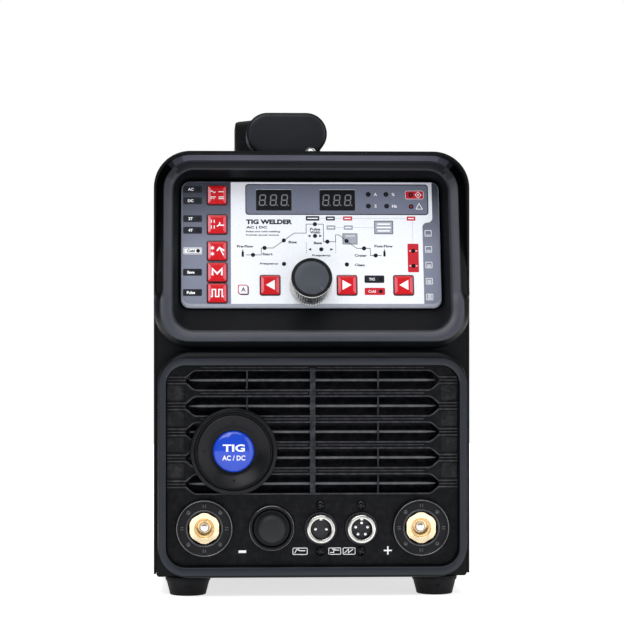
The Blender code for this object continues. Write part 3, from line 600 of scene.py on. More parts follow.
def make_hood():
    def even(margin):
        return (margin, margin, margin)

    window, seat = (20.5, 22.2, 30.0), (18.0, 19.8, 27.7)
    rings = [
        flat_ring(even(0), HOOD_CORNER, HOOD_BACK_Y),
        hood_ring(even(0), HOOD_CORNER, 5.2, 9.6),
        hood_ring(even(0.35), 25.7, 3.4, 7.6),
        hood_ring(even(1.2), 24.9, 2.1, 5.6),
        hood_ring(even(2.4), 23.8, 1.5, 3.9, 0.9),
        hood_ring((6.1, 6.3, 5.0), 20.2, 0.35, 1.0, 2.3),
        hood_ring((6.5, 6.8, 5.4), 19.7, 0.0, 0.25, 2.3),
        hood_ring((6.9, 7.3, 5.8), 19.2, 0.15, 0.0, 2.3),
        hood_ring((9.4, 9.4, 8.6), 17.4, 0.9, 0.25, 0.6),
        hood_ring((12.0, 11.6, 11.3), 15.4, 1.8, 0.9),
        hood_ring((12.6, 12.3, 12.1), 14.8, 2.4, 1.5),
        hood_ring((13.1, 12.9, 12.8), 14.2, 3.8, 2.6),
        hood_ring((15.9, 17.4, 20.6), 10.2, 10.0, 9.2),
        hood_ring((17.3, 19.0, 26.4), 7.4, 14.6, 14.6),
        hood_ring(seat, 6.5, SEAT),
        hood_ring(window, 4.5, SEAT),
        hood_ring(window, 4.5, SEAT + 2.3),
        hood_ring((15.5, 17.2, 25.0), 8.5, SEAT + 2.3),
        hood_ring((11.0, 11.0, 10.0), 15.8, 6.2),
        hood_ring(even(5.0), 20.5, 4.4, 6.6),
        hood_ring(even(2.8), 23.2, 8.0, 12.0),
        flat_ring(even(2.8), 23.2, HOOD_BACK_Y),
    ]
    bm = bmesh.new()
    add_loft(bm, rings, capped=False)
    hood = finish_mesh("hood_moulding", bm, FLAT, "bezel", smooth=50)
    around = len(rings[0])
    outer, ridge, inner, line, recess = range(1, 5), (5, 6), (7, 8), (9, 10), range(11, len(rings))

    # reach is below 0 down the sides, 0 at the corners and above 0 along the top; the tones change along it
    # Each band takes a lit or a shaded copy of the bezel plastic: painted highlights on the outer bands along
    # the top and corners, on the ridge and on the inner band down the sides; painted shade on the outer bands
    # down the sides, the inner band along the top and the recess.
    def choose(index, centre):
        band = index // around
        reach = (HOOD_HIGH.z - centre.z / MM) - (HOOD_HIGH.x - abs(centre.x) / MM)
        if band in ridge:
            return "bezel_band" if reach < 0 else "bezel_line"
        if band in line:
            return "bezel_edge"
        if band in inner:
            return "bezel_inner" if reach < -2 else "bezel_edge" if reach < 8 else "bezel_band"
        if band in recess:
            return "bezel_deep"
        if band in outer and reach < 2:
            return "bezel_crown" if reach < -14 else "bezel_turn" if reach < -6 else "bezel_band"
        return "bezel_deep" if band in outer else "bezel"

    paint(hood, choose)
    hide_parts("upper_hood_bezel")


# ------------------------------------------------------------------ lower front
BEZEL_LOW, BEZEL_HIGH = in_frame("lower_front_bezel", FRONT)
FLOOR = -7.0                                   # the recessed face, out of the rim's plane
FLOOR_THICK = 2.5
SLOT_TOP, SLOT_PITCH, SLOT_HEIGHT, SLOT_COUNT = 153.8, 17.6, 13.3, 5
SLOT_HALF, PINCH_HALF, CHANNEL_END = 80.4, 85.9, 98.7
CHANNEL = 2.15                                 # half the height of the narrow channels
RIM_WIDTH, RIM_PROUD = 1.05, 1.3               # the raised outline round each slot
THIN_RIB_X = 44.6                              # the upright ribs behind the slots, either side
POCKET_START, POCKET_DEPTH = 87.6, 1.3
SOCKET_HOLE, CAP_HOLE, CONNECTOR_HOLE, SCREW_HOLE = 14.8, 9.5, 8.8, 1.8
# sections of a louvre blade and of the lip at its front, as height from the slot's middle and depth
BLADE = ((0.9, -3.3), (7.3, -7.9), (7.3, -8.7), (0.0, -4.6), (-7.3, -8.7), (-7.3, -7.9), (-0.9, -3.3))
LIP = ((1, -2.6), (0.6, -2.2), (-0.6, -2.2), (-1, -2.6), (-1, -3.6), (1, -3.6))
LIP_HALF, LIP_END_HALF = 0.9, 0.25             # half the lip's height, along it and at its outer end


def slot_heights():
    """Heights of the middles of the air slots, from the top one down."""
    return [SLOT_TOP - SLOT_HEIGHT / 2 - row * SLOT_PITCH for row in range(SLOT_COUNT)]


def bezel_outline(side, top, bottom, radius):
    return rounded_rect(BEZEL_LOW.x + side, BEZEL_HIGH.x - side, BEZEL_LOW.y + bottom, BEZEL_HIGH.y - top,
                        radius, 14)


def plate_with_holes(bm, outlines, low, high):
    """Adds a flat plate with holes, filled as a 2D curve, to a mesh in the making."""
    curve = bpy.data.curves.new("field", "CURVE")
    curve.dimensions = "2D"
    curve.fill_mode = "BOTH"
    curve.extrude = (high - low) / 2
    for outline in outlines:
        spline = curve.splines.new("POLY")
        spline.points.add(len(outline) - 1)
        for point, (x, y) in zip(spline.points, outline):
            point.co = (x, y, 0.0, 1.0)
        spline.use_cyclic_u = True
    obj = bpy.data.objects.new("field", curve)
    bpy.context.scene.collection.objects.link(obj)
    mesh = mesh_of(obj)
    bpy.data.objects.remove(obj, do_unlink=True)
    for v in mesh.vertices:
        v.co.z += (low + high) / 2
    bm.from_mesh(mesh)
    bpy.data.meshes.remove(mesh)


def flat_plate(name, outlines, low, high, matrix, material, body="root"):
    """A piece that is one flat plate: the first outline is its edge, the others are holes."""
    bm = bmesh.new()
    plate_with_holes(bm, outlines, low, high)
    bmesh.ops.remove_doubles(bm, verts=bm.verts, dist=0.001)
    return finish_mesh(name, bm, matrix, material, body)


def make_bezel_frame():
    """The rim round the lower front: rolled outer edge, flat band and the wall down to the floor; the band
    carries a painted highlight, the rest painted shade.
    """
    back = BEZEL_LOW.z
    rings = (((0.0, 0.0, 0.0), 22.0, back), ((0.0, 0.0, 0.0), 22.0, -3.4), ((0.08, 0.4, 0.1), 21.8, -2.3),
             ((0.2, 1.3, 0.3), 21.2, -1.3), ((0.4, 2.8, 0.7), 20.0, -0.55), ((0.6, 4.0, 1.2), 18.6, -0.12),
             ((0.9, 4.6, 1.7), 17.8, 0.0), ((4.8, 8.7, 6.6), 14.4, 0.0), ((5.3, 9.2, 7.1), 13.6, -0.2),
             ((5.6, 9.5, 7.5), 13.0, -0.9), ((6.1, 9.9, 8.0), 12.2, FLOOR + 0.5),
             ((6.3, 10.1, 8.2), 12.0, FLOOR - 0.1), ((6.3, 10.1, 8.2), 12.0, FLOOR - FLOOR_THICK),
             ((2.5, 2.5, 2.5), 19.5, FLOOR - FLOOR_THICK), ((2.5, 2.5, 2.5), 19.5, back))
    bm = bmesh.new()
    add_loft(bm, [level(bezel_outline(*margins, radius), z) for margins, radius, z in rings], capped=False)
    rim = finish_mesh("lower_bezel_rim", bm, FRONT, "bezel", smooth=50)
    around, band = len(bezel_outline(0, 0, 0, 22.0)), (6, 7)
    # painted highlight on the flat front band, painted shade on the rolled edge and the walls
    paint(rim, lambda index, centre: "bezel_rim" if index // around in band else "bezel_deep")
    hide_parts("lower_front_bezel")


def slot_outline(y):
    """The air slot whose middle is at height y: full height in the middle, narrow at both ends."""
    half, inner = SLOT_HALF, CHANNEL - 0.4
    reach = SLOT_HEIGHT / 2 - 0.35
    right = [(half, y - reach), (PINCH_HALF, y - inner), (PINCH_HALF, y + inner), (half, y + reach)]
    return right + [(-x, z) for x, z in reversed(right)]


def round_places():
    """Centre and clearance radius of everything round that passes through the floor."""
    places = [(middle(f"{side}_socket_body", FRONT), SOCKET_HOLE) for side in ("negative", "positive")]
    places.append((middle("gas_outlet_fitting", FRONT), CAP_HOLE))
    for name in ("torch_connector", "pedal_connector"):
        places.append((middle(f"{name}_shell", FRONT), CONNECTOR_HOLE))
        places += [(middle(f"{name}_{side}_screw", FRONT), SCREW_HOLE) for side in ("lower", "upper")]
    return places


def make_floor():
    """The recessed floor with its slots, the pockets beside them and the holes of the sockets, in painted
    shade.
    """
    outlines = [bezel_outline(6.2, 10.0, 8.1, 12.1)]
    outlines += [slot_outline(y) for y in slot_heights()]
    outlines += [circle(place.x, place.y, radius) for place, radius in round_places()]
    pockets = []
    for y in slot_heights()[:-1]:
        below = y - SLOT_PITCH
        for side in (-1, 1):
            x0, x1 = sorted((side * POCKET_START, side * CHANNEL_END))
            pockets.append(rounded_rect(x0, x1, below + CHANNEL + 1.5, y - CHANNEL - 1.5, 1.6, 4))
    low, high = FLOOR - FLOOR_THICK, FLOOR
    # the floor takes the near-black copy and the pockets a dark copy of the bezel plastic: painted shade
    floor = flat_plate("lower_front_floor", outlines + pockets, low, high, FRONT, "bezel_deep")
    bm = bmesh.new()
    for pocket in pockets:
        add_prism(bm, pocket, low, high - POCKET_DEPTH)
    finish_mesh("pocket_floors", bm, FRONT, "bezel_pocket_shade")


def add_ridge(bm, points, width, low, high):
    """A raised rib along a polyline with sloping flanks: wide at its foot, narrow at its crest."""
    add_stroke(bm, points, width, low, low + 0.55 * (high - low))
    add_stroke(bm, points, width * 0.62, low + 0.5 * (high - low), high)


def make_grille():
    """The raised outlines of the slots, the upright and cross ribs, and the blades behind them; outlines and
    blade lips carry painted highlights, the blades painted shade.
    """
    foot, top = FLOOR - 0.2, FLOOR + RIM_PROUD
    rows = slot_heights()
    bm = bmesh.new()
    for y in rows:
        for flip in (-1, 1):
            edge, channel = y + flip * (SLOT_HEIGHT / 2 + 0.1), y + flip * CHANNEL
            path = [(-CHANNEL_END, channel), (-PINCH_HALF, channel), (-SLOT_HALF - 1.2, edge - flip * 0.9),
                    (-SLOT_HALF + 1.0, edge)]
            path += [(-x, z) for x, z in reversed(path)]
            add_ridge(bm, path, RIM_WIDTH, foot, top)
        for side in (-1, 1):
            add_ridge(bm, [(side * CHANNEL_END, y), (side * (PINCH_HALF + 0.6), y)], 0.8, foot, top - 0.3)
    for y in [rows[0] + SLOT_HEIGHT / 2 + 2.0] + [row - SLOT_PITCH / 2 for row in rows[:-1]]:
        for side in (-1, 1):
            add_ridge(bm, [(side * 3.4, y), (side * 76.0, y)], 0.7, foot, FLOOR + 0.5)
    # the outlines take a lighter copy of the bezel plastic as a painted highlight
    finish_mesh("grille_outlines", bm, FRONT, "bezel_line")

    bm = bmesh.new()
    low, high = rows[-1] - SLOT_HEIGHT / 2, rows[0] + SLOT_HEIGHT / 2
    rib = [(-1.75, low), (1.75, low), (1.75, high + 1.8), (-1.75, high + 1.8)]
    add_prism(bm, rib, FLOOR - 3.5, FLOOR + 0.9, 0.35)
    for y in rows[:-1]:
        bar = y - SLOT_PITCH / 2
        add_prism(bm, rounded_rect(-2.3, 2.3, bar - 1.5, bar + 1.5, 0.7, 4), FLOOR, FLOOR + 1.5, 0.3)
    for x in (-THIN_RIB_X, THIN_RIB_X):
        for y in rows:
            reach = SLOT_HEIGHT / 2 - 0.2
            add_prism(bm, [(x - 0.5, y - reach), (x + 0.5, y - reach), (x + 0.5, y + reach),
                           (x - 0.5, y + reach)], FLOOR - 6.0, FLOOR - 0.6)
    finish_mesh("grille_ribs", bm, FRONT, "bezel")

    blades, lips = bmesh.new(), bmesh.new()
    for y in rows:
        for side in (-1, 1):
            inner_lip = ((1.8, LIP_HALF), (THIN_RIB_X - 0.6, LIP_HALF))
            outer_lip = ((THIN_RIB_X + 0.6, LIP_HALF), (77.0, LIP_HALF), (84.0, LIP_END_HALF))
            for stops, end in ((inner_lip, THIN_RIB_X - 0.6), (outer_lip, 83.0)):
                start = stops[0][0]
                add_loft(blades, [[(side * x, y + a, FLOOR + b) for a, b in BLADE] for x in (start, end)])
                add_loft(lips, [[(side * x, y + a * half, FLOOR + b) for a, b in LIP] for x, half in stops])
    # the blades take the near-black copy as painted shade, their lips a pale copy as a painted highlight
    finish_mesh("grille_blades", blades, FRONT, "bezel_deep")
    finish_mesh("grille_blade_lips", lips, FRONT, "bezel_lip_lit")


# ------------------------------------------------------------------ sockets and fittings
def make_socket(side):
    """A twist-lock cable socket: moulded flange with cast marks, hexagonal brass and a silver pin."""
    centre = placed(f"{side}_socket_body", FRONT)[2]
    flange = [(11.15, -1.5), (12.0, -1.5), (12.4, -1.9), (17.0, -1.9), (17.4, -1.5), (18.6, -1.5),
              (19.2, -1.7), (19.6, -2.3), (19.7, -3.0), (19.7, -6.7), (14.5, -6.7), (14.5, -45.0),
              (11.15, -45.0)]
    body = turned_piece(f"{side}_socket_flange", flange, 96, centre, FRONT, "black")
    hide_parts(f"{side}_socket_body")

    bead = [(18.35, -1.55), (18.5, -1.3), (18.8, -1.3), (18.95, -1.55), (18.65, -1.9)]
    ring = turned_piece(f"{side}_socket_ring", bead, 96, centre, FRONT, "dull_steel", smooth=60)
    bm = bmesh.new()
    for i in range(8):
        turn = math.radians(45 * i)
        spot = Matrix.Translation((*centre, 0)) @ Matrix.Rotation(turn, 4, "Z")
        if i % 2:
            x, y = (spot @ Vector((15.2, 0.0, 0.0))).xy
            add_turned(bm, [(0, -1.2), (0.9, -1.2), (1.35, -1.5), (1.4, -2.3), (0, -2.3)], 24, (x, y))
        else:
            for low in (-1.1, 0.4):
                bar = rounded_rect(13.9, 16.3, low, low + 0.7, 0.3, 3)
                block = [spot @ Vector((x, y, -1.95)) for x, y in bar]
                add_loft(bm, [block, [point + Vector((0, 0, 0.6)) for point in block]])
    add_turned(bm, [(11.7, -1.5), (12.1, -1.3), (12.5, -1.5), (12.5, -1.95), (11.7, -1.95)], 96, centre)
    # the marks take a lighter copy of the bezel plastic than the flange: a painted highlight
    finish_mesh(f"{side}_socket_marks", bm, FRONT, "bezel_mark_lit", smooth=40)

    across_flats, round_radius, steps = 20.5, 10.8, 72

    def hexagon(radius, height, i):
        if radius < 9.6 or height < -14:
            return radius
        angle = (360 * i / steps + 30) % 60 - 30
        return min(radius, across_flats / 2 / math.cos(math.radians(angle)) * (radius / round_radius))

    bm = bmesh.new()
    nose = [(3.3, -20.0), (3.3, -12.2), (4.4, -11.9), (5.0, -11.0), (5.4, -7.4), (6.2, -6.6), (6.3, -4.0),
            (6.6, -3.0), (6.9, -2.75), (10.4, -2.6), (round_radius, -3.0), (round_radius, -12.0),
            (round_radius, -15.0), (round_radius, -55.0), (3.3, -55.0)]
    add_turned(bm, nose, steps, centre, hexagon)
    brass = finish_mesh(f"{side}_brass_nose", bm, FRONT, "brass", smooth=35)
    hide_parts(f"{side}_brass_insert")
    shaft = [(0, -9.3), (0.9, -9.3), (1.2, -9.6), (2.5, -9.7), (3.0, -10.3), (3.1, -11.0), (3.1, -54.0),
             (0, -54.0)]
    pin = turned_piece(f"{side}_pin", shaft, 40, centre, FRONT, "pin")


def make_gas_outlet():
    """The shielding gas outlet: a flanged spigot under a rubber dust cap."""
    centre = placed("gas_outlet_fitting", FRONT)[2]
    spigot = [(2.4, 0.5), (5.2, 0.5), (5.5, 0.2), (5.5, -4.2), (12.0, -4.2), (12.6, -3.4), (13.4, -2.8),
              (14.9, -2.8), (15.4, -3.3), (15.5, -4.0), (15.5, -6.7), (9.0, -6.7), (9.0, -40.0), (2.4, -40.0)]
    fitting = turned_piece("gas_outlet_flange", spigot, 96, centre, FRONT, "black")
    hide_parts("gas_outlet_fitting")
    bead = [(14.9, -2.78), (15.1, -2.85), (15.4, -3.3), (15.1, -3.2)]
    ring = turned_piece("gas_outlet_ring", bead, 96, centre, FRONT, "dull_steel", smooth=60)
    dome = [(0, 5.95), (3.0, 5.9), (5.6, 5.7), (7.4, 5.2), (8.6, 4.4), (9.5, 3.1), (9.9, 1.6), (10.1, 0.0),
            (10.1, -3.0), (9.9, -3.7), (9.6, -3.9), (6.2, -3.9), (6.2, 1.5), (0, 1.5)]
    cap = turned_piece("gas_outlet_dust_cap", dome, 72, centre, FRONT, "cap_dome", "gas_cap", smooth=40)
    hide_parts("gas_outlet_cap")


def make_connector(name, pins):
    """A round multi-pin connector: dark flange, bright collar with its key, insulator and pins."""
    centre = placed(f"{name}_shell", FRONT)[2]
    plate = [(9.75, -4.9), (11.0, -4.9), (11.3, -5.3), (11.3, -6.7), (8.5, -6.7), (8.5, -30.0), (7.1, -30.0),
             (7.1, -5.5), (9.75, -5.5)]
    flange = turned_piece(f"{name}_flange", plate, 80, centre, FRONT, "screw")
    bm = bmesh.new()
    collar = [(7.1, 1.2), (7.25, 1.7), (7.5, 1.85), (7.9, 1.9), (8.05, 1.5), (8.3, 1.5), (8.45, 1.95),
              (8.9, 1.95), (9.35, 1.65), (9.65, 1.1), (9.7, 0.4), (9.7, -0.6), (9.45, -0.9), (9.45, -1.2),
              (9.7, -1.5), (9.7, -4.8), (7.1, -4.8)]
    add_turned(bm, collar, 80, centre)
    key = rounded_rect(centre[0] - 1.1, centre[0] + 1.1, centre[1] + 5.9, centre[1] + 7.4, 0.5, 4)
    add_prism(bm, key, -3.2, 1.0, 0.3)
    shell = finish_mesh(f"{name}_collar", bm, FRONT, "bright", smooth=35)
    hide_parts(f"{name}_shell")

    core = [(0, -3.5), (6.0, -3.5), (6.3, -3.8), (6.8, -4.0), (6.8, -34.0), (0, -34.0)]
    insert = turned_piece(f"{name}_insulator", core, 64, centre, FRONT, "handle")
    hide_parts(f"{name}_insert")
    bm = bmesh.new()
    for x, y in pins:
        add_turned(bm, [(0, 0.2), (0.8, 0.1), (1.25, -0.4), (1.35, -0.9), (1.35, -3.8), (0, -3.8)], 20,
                   (centre[0] + x, centre[1] + y))
    finish_mesh(f"{name}_pins", bm, FRONT, "pin", smooth=35)


def make_cross_screw(node, matrix, radius, height, material):
    """A domed screw head with a cross recess sunk into it, in place of a plain turned node."""
    _, high, (cx, cy) = placed(node, matrix)
    steps, arm, reach, sunk = 48, radius * 0.17, radius * 0.62, high.z - height * 0.85
    twist, start = 0.35, 20                    # how the cross and the first point are turned

    def height_at(x, y, part):
        across = x * math.cos(twist) + y * math.sin(twist)
        along = y * math.cos(twist) - x * math.sin(twist)
        in_cross = (abs(across) < arm or abs(along) < arm) and part * radius < reach
        return high.z - height * 0.75 * part ** 3 - (height * 0.85 if in_cross else 0.0)

    def around(part):
        return arc((0.0, 0.0), radius * part, start, start + 360 * (steps - 1) / steps, steps - 1)

    rings = [level(circle(cx, cy, 0.01, steps), sunk)]
    for part in (0.12, 0.24, 0.36, 0.48, 0.60, 0.66, 0.78, 0.90, 0.98, 1.0):
        rings.append([(cx + x, cy + y, height_at(x, y, part)) for x, y in around(part)])
    rings.append([(cx + x, cy + y, high.z - height) for x, y in around(1.0)])
    bm = bmesh.new()
    add_loft(bm, rings)
    screw = finish_mesh(f"{node}_head", bm, matrix, material, smooth=40)
    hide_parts(node)


def make_badge():
    """A dished ring with a groove near its edge, a domed blue disc and lettering laid on the dome."""
    low, _, centre = placed("badge_ring", FRONT)
    bowl = [(0, -5.5), (15.6, -5.5), (16.3, -5.3), (17.6, -4.4), (23.4, -1.15), (24.1, -0.9), (24.5, -1.1),
            (24.7, -1.8), (25.0, -3.2), (26.1, -3.2), (26.4, -1.8), (26.7, -0.8), (27.2, -0.4), (28.5, -0.4),
            (29.1, -0.7), (29.45, -1.4), (29.5, -2.2), (29.5, low.z), (0, low.z)]
    bm = bmesh.new()
    add_turned(bm, bowl, 128, centre)
    for i in range(4):
        turn = math.radians(90 * i)
        spot = (centre[0] + 19.8 * math.cos(turn), centre[1] + 19.8 * math.sin(turn))
        add_turned(bm, [(0, -2.5), (0.55, -2.6), (0.8, -3.0), (0.8, -4.4), (0, -4.4)], 16, spot)
    ring = finish_mesh("badge_bowl", bm, FRONT, "black", smooth=35)
    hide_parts("badge_ring")

    radius, rim, crown = 14.1, -4.6, 4.1
    angles = [math.pi / 2 * k / 10 for k in range(11)]
    dome = [(radius * math.sin(a), rim + crown * math.cos(a)) for a in angles] + [(radius, -5.2), (0, -5.2)]
    disc = turned_piece("badge_dome", dome, 96, centre, FRONT, "badge", smooth=60)
    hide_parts("badge_disc")

    def on_dome(x, y):
        fall = 1 - min(1.0, ((x - centre[0]) ** 2 + (y - centre[1]) ** 2) / radius ** 2)
        return rim + crown * math.sqrt(fall)

    bm = bmesh.new()
    add_text(bm, "TIG", (centre[0], centre[1] + 2.5), 5.0, 0.0, 0.12, 0.03, 15.0)
    add_text(bm, "AC / DC", (centre[0], centre[1] - 4.2), 3.4, 0.0, 0.12, 0.02, 15.5)
    for v in bm.verts:
        v.co.z += on_dome(v.co.x, v.co.y) + 0.15
    finish_mesh("badge_lettering", bm, FRONT, "print_white")


# ------------------------------------------------------------------ prints on the lower front
def make_front_prints():
    high = FLOOR + 0.06
    bm = bmesh.new()
    minus, plus = (-47.8, 30.8), (51.2, 31.2)
    add_prism(bm, rounded_rect(*boxed(minus, (5.2, 1.7)), 0.3, 3), FLOOR, high)
    add_stroke(bm, [(plus[0] - 2.8, plus[1]), (plus[0] + 2.8, plus[1])], 1.0, FLOOR, high)
    add_stroke(bm, [(plus[0], plus[1] - 2.8), (plus[0], plus[1] + 2.8)], 1.0, FLOOR, high + 0.01)
    for centre, width in (((-8.6, 30.9), 10.2), ((15.0, 30.9), 8.6), ((24.8, 30.9), 8.6)):
        x0, x1, y0, y1 = boxed(centre, (width, 4.8))
        add_frame(bm, rounded_rect(x0, x1, y0, y1, 0.9, 4),
                  rounded_rect(x0 + 0.45, x1 - 0.45, y0 + 0.45, y1 - 0.45, 0.5, 4), FLOOR, high)
    drawings = ([(-11.4, 29.6), (-9.9, 32.2), (-7.9, 31.3), (-4.2, 31.3)], [(-9.2, 31.8), (-8.4, 32.7)],
                [(12.8, 30.0), (15.2, 30.0), (15.2, 31.6), (18.9, 31.6)], [(14.0, 32.3), (16.4, 32.3)],
                [(22.6, 29.6), (25.2, 32.3), (25.2, 29.8), (28.4, 32.2)])
    for path in drawings:
        add_stroke(bm, [(x - 0.9, z) for x, z in path], 0.55, FLOOR, high)
    finish_mesh("front_prints", bm, FRONT, "print_white")


# ------------------------------------------------------------------ control panel
# The overlay's artwork is laid out as it appears from straight ahead, in millimetres from the machine's
# middle and above the floor; art() turns that into a place on the sloping panel.
ART_STRETCH = (1.0202, 1.0633)
ART_MIDDLE = (0.45, 239.3)
STRIP_EDGE, STRIP_NOTCH = -53.8, 76.3


def art(x, z):
    return (x - ART_MIDDLE[0]) * ART_STRETCH[0], (z - ART_MIDDLE[1]) * ART_STRETCH[1]


def art_path(points):
    return [art(x, z) for x, z in points]


def art_rect(x0, x1, z0, z1, radius=0.0, steps=5):
    a, b = art(x0, z0), art(x1, z1)
    if radius:
        return rounded_rect(a[0], b[0], a[1], b[1], radius, steps)
    return [(a[0], a[1]), (b[0], a[1]), (b[0], b[1]), (a[0], b[1])]


LAYER = 0.05                                   # one print layer's thickness in the artwork


class Print:
    """One ink of the overlay: shapes on a numbered layer, gathered into one piece."""

    def __init__(self, name, material):
        self.name, self.material, self.bm = name, material, bmesh.new()

    def area(self, outline, layer):
        add_prism(self.bm, outline, 0.0, LAYER * layer)

    def border(self, outline, inner, layer):
        add_frame(self.bm, outline, inner, 0.0, LAYER * layer)

    def frame(self, limits, inset, radii, layer):
        """A thin rectangular border from its outer limits and its outer and inner corner radius."""
        x0, x1, z0, z1 = limits
        inner = art_rect(x0 + inset, x1 - inset, z0 + inset, z1 - inset, radii[1])
        self.border(art_rect(*limits, radii[0]), inner, layer)

    def line(self, points, layer, width=0.42):
        add_stroke(self.bm, art_path(points), width, 0.0, LAYER * layer)

    def dot(self, x, z, radius, layer):
        add_prism(self.bm, circle(*art(x, z), radius, 24), 0.0, LAYER * layer)

    def text(self, words, x, z, height, layer, bold=0.02, width=None, align="CENTER"):
        add_text(self.bm, words, art(x, z), height, 0.0, LAYER * layer, bold, width, align)

    def done(self):
        return finish_mesh(self.name, self.bm, PANEL, self.material)


def key_outline(node, grow):
    """A key's edge moved outwards by grow, as an opening or a printed surround."""
    low, high = in_frame(node, PANEL)
    return rounded_rect(low.x - grow, high.x + grow, low.y - grow, high.y + grow, 0.9 + grow, 4)


KEYS = ("output_mode_key", "trigger_mode_key", "cold_weld_key", "memory_key", "pulse_key",
        "previous_key", "next_key", "select_key")
DISPLAYS = ("current_display", "value_display")
# the weld cycle drawn on the overlay: x and height of each turn of the line
CYCLE = ((-43.6, 231.9), (-33.3, 231.9), (-33.3, 236.6), (-25.3, 236.6), (-18.0, 241.7), (-10.9, 246.7),
         (-2.8, 246.7), (-2.8, 252.8), (8.9, 252.8), (8.9, 240.9), (17.1, 240.9), (17.1, 245.5),
         (19.6, 245.5), (24.5, 241.4), (31.5, 236.4), (40.5, 236.4), (40.5, 231.6), (48.1, 231.6))
CYCLE_DOTS = ((-38.9, 231.9), (-31.1, 236.6), (-18.0, 241.7), (3.2, 252.8), (11.5, 240.9), (24.5, 241.4),
              (36.3, 236.4), (44.1, 231.6), (3.2, 244.8), (7.3, 235.7), (-18.0, 225.8), (24.5, 225.5))
CYCLE_WORDS = (("Pre-Flow", -44.2, 237.7), ("Start", -29.1, 232.5), ("Rise", -12.0, 240.6),
               ("Pulse", 3.3, 249.4), ("Width", 3.3, 247.3), ("Base", 5.0, 240.1), ("Frequency", 7.4, 231.5),
               ("Crater", 34.0, 231.6), ("Post-Flow", 49.6, 237.9), ("Frequency", -28.0, 225.9),
               ("Clean", 33.2, 225.2))
STRIP_LABELS = (("AC", 276.4), ("DC", 268.6), ("2T", 256.4), ("4T", 248.5), ("Cold", 234.6), ("Save", 220.2),
                ("Pulse", 206.6))


def display_opening(display):
    low, high = in_frame(display, PANEL)
    return rounded_rect(low.x - 0.3, high.x + 0.3, low.y - 0.3, high.y + 0.3, 0.6, 3)


def panel_outline(side, top, bottom):
    low, high = in_frame("control_panel_plate", PANEL)
    return rounded_rect(low.x + side, high.x - side, low.y + bottom, high.y - top, 6.0 - 0.5 * side, 10)


FACE_MARGINS = (0.9, 0.7, 2.7)                 # sides, top and bottom of the flat face


def make_panel_plate():
    """The overlay's carrier, with the openings of keys, displays and knob and a sloping bright edge."""
    outlines = [panel_outline(*FACE_MARGINS)]
    outlines += [key_outline(key, 0.3) for key in KEYS]
    outlines += [display_opening(display) for display in DISPLAYS]
    knob = middle("encoder_knob", PANEL)
    outlines.append(circle(knob.x, knob.y, 4.2, 32))
    plate = flat_plate("panel_carrier", outlines, -PANEL_THICK, 0.0, PANEL, "panel")
    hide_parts("control_panel_plate")
    bm = bmesh.new()
    rings = [level(panel_outline(*margins), z) for margins, z in (
        (FACE_MARGINS, -0.02), ((0.5, 0.4, 1.9), -0.22), ((0.15, 0.1, 0.5), -0.75), ((0.0, 0.0, 0.0), -1.2),
        ((0.0, 0.0, 0.0), -PANEL_THICK), (FACE_MARGINS, -PANEL_THICK))]
    add_loft(bm, rings, capped=False)
    finish_mesh("panel_edge", bm, PANEL, "panel_mid", smooth=60)


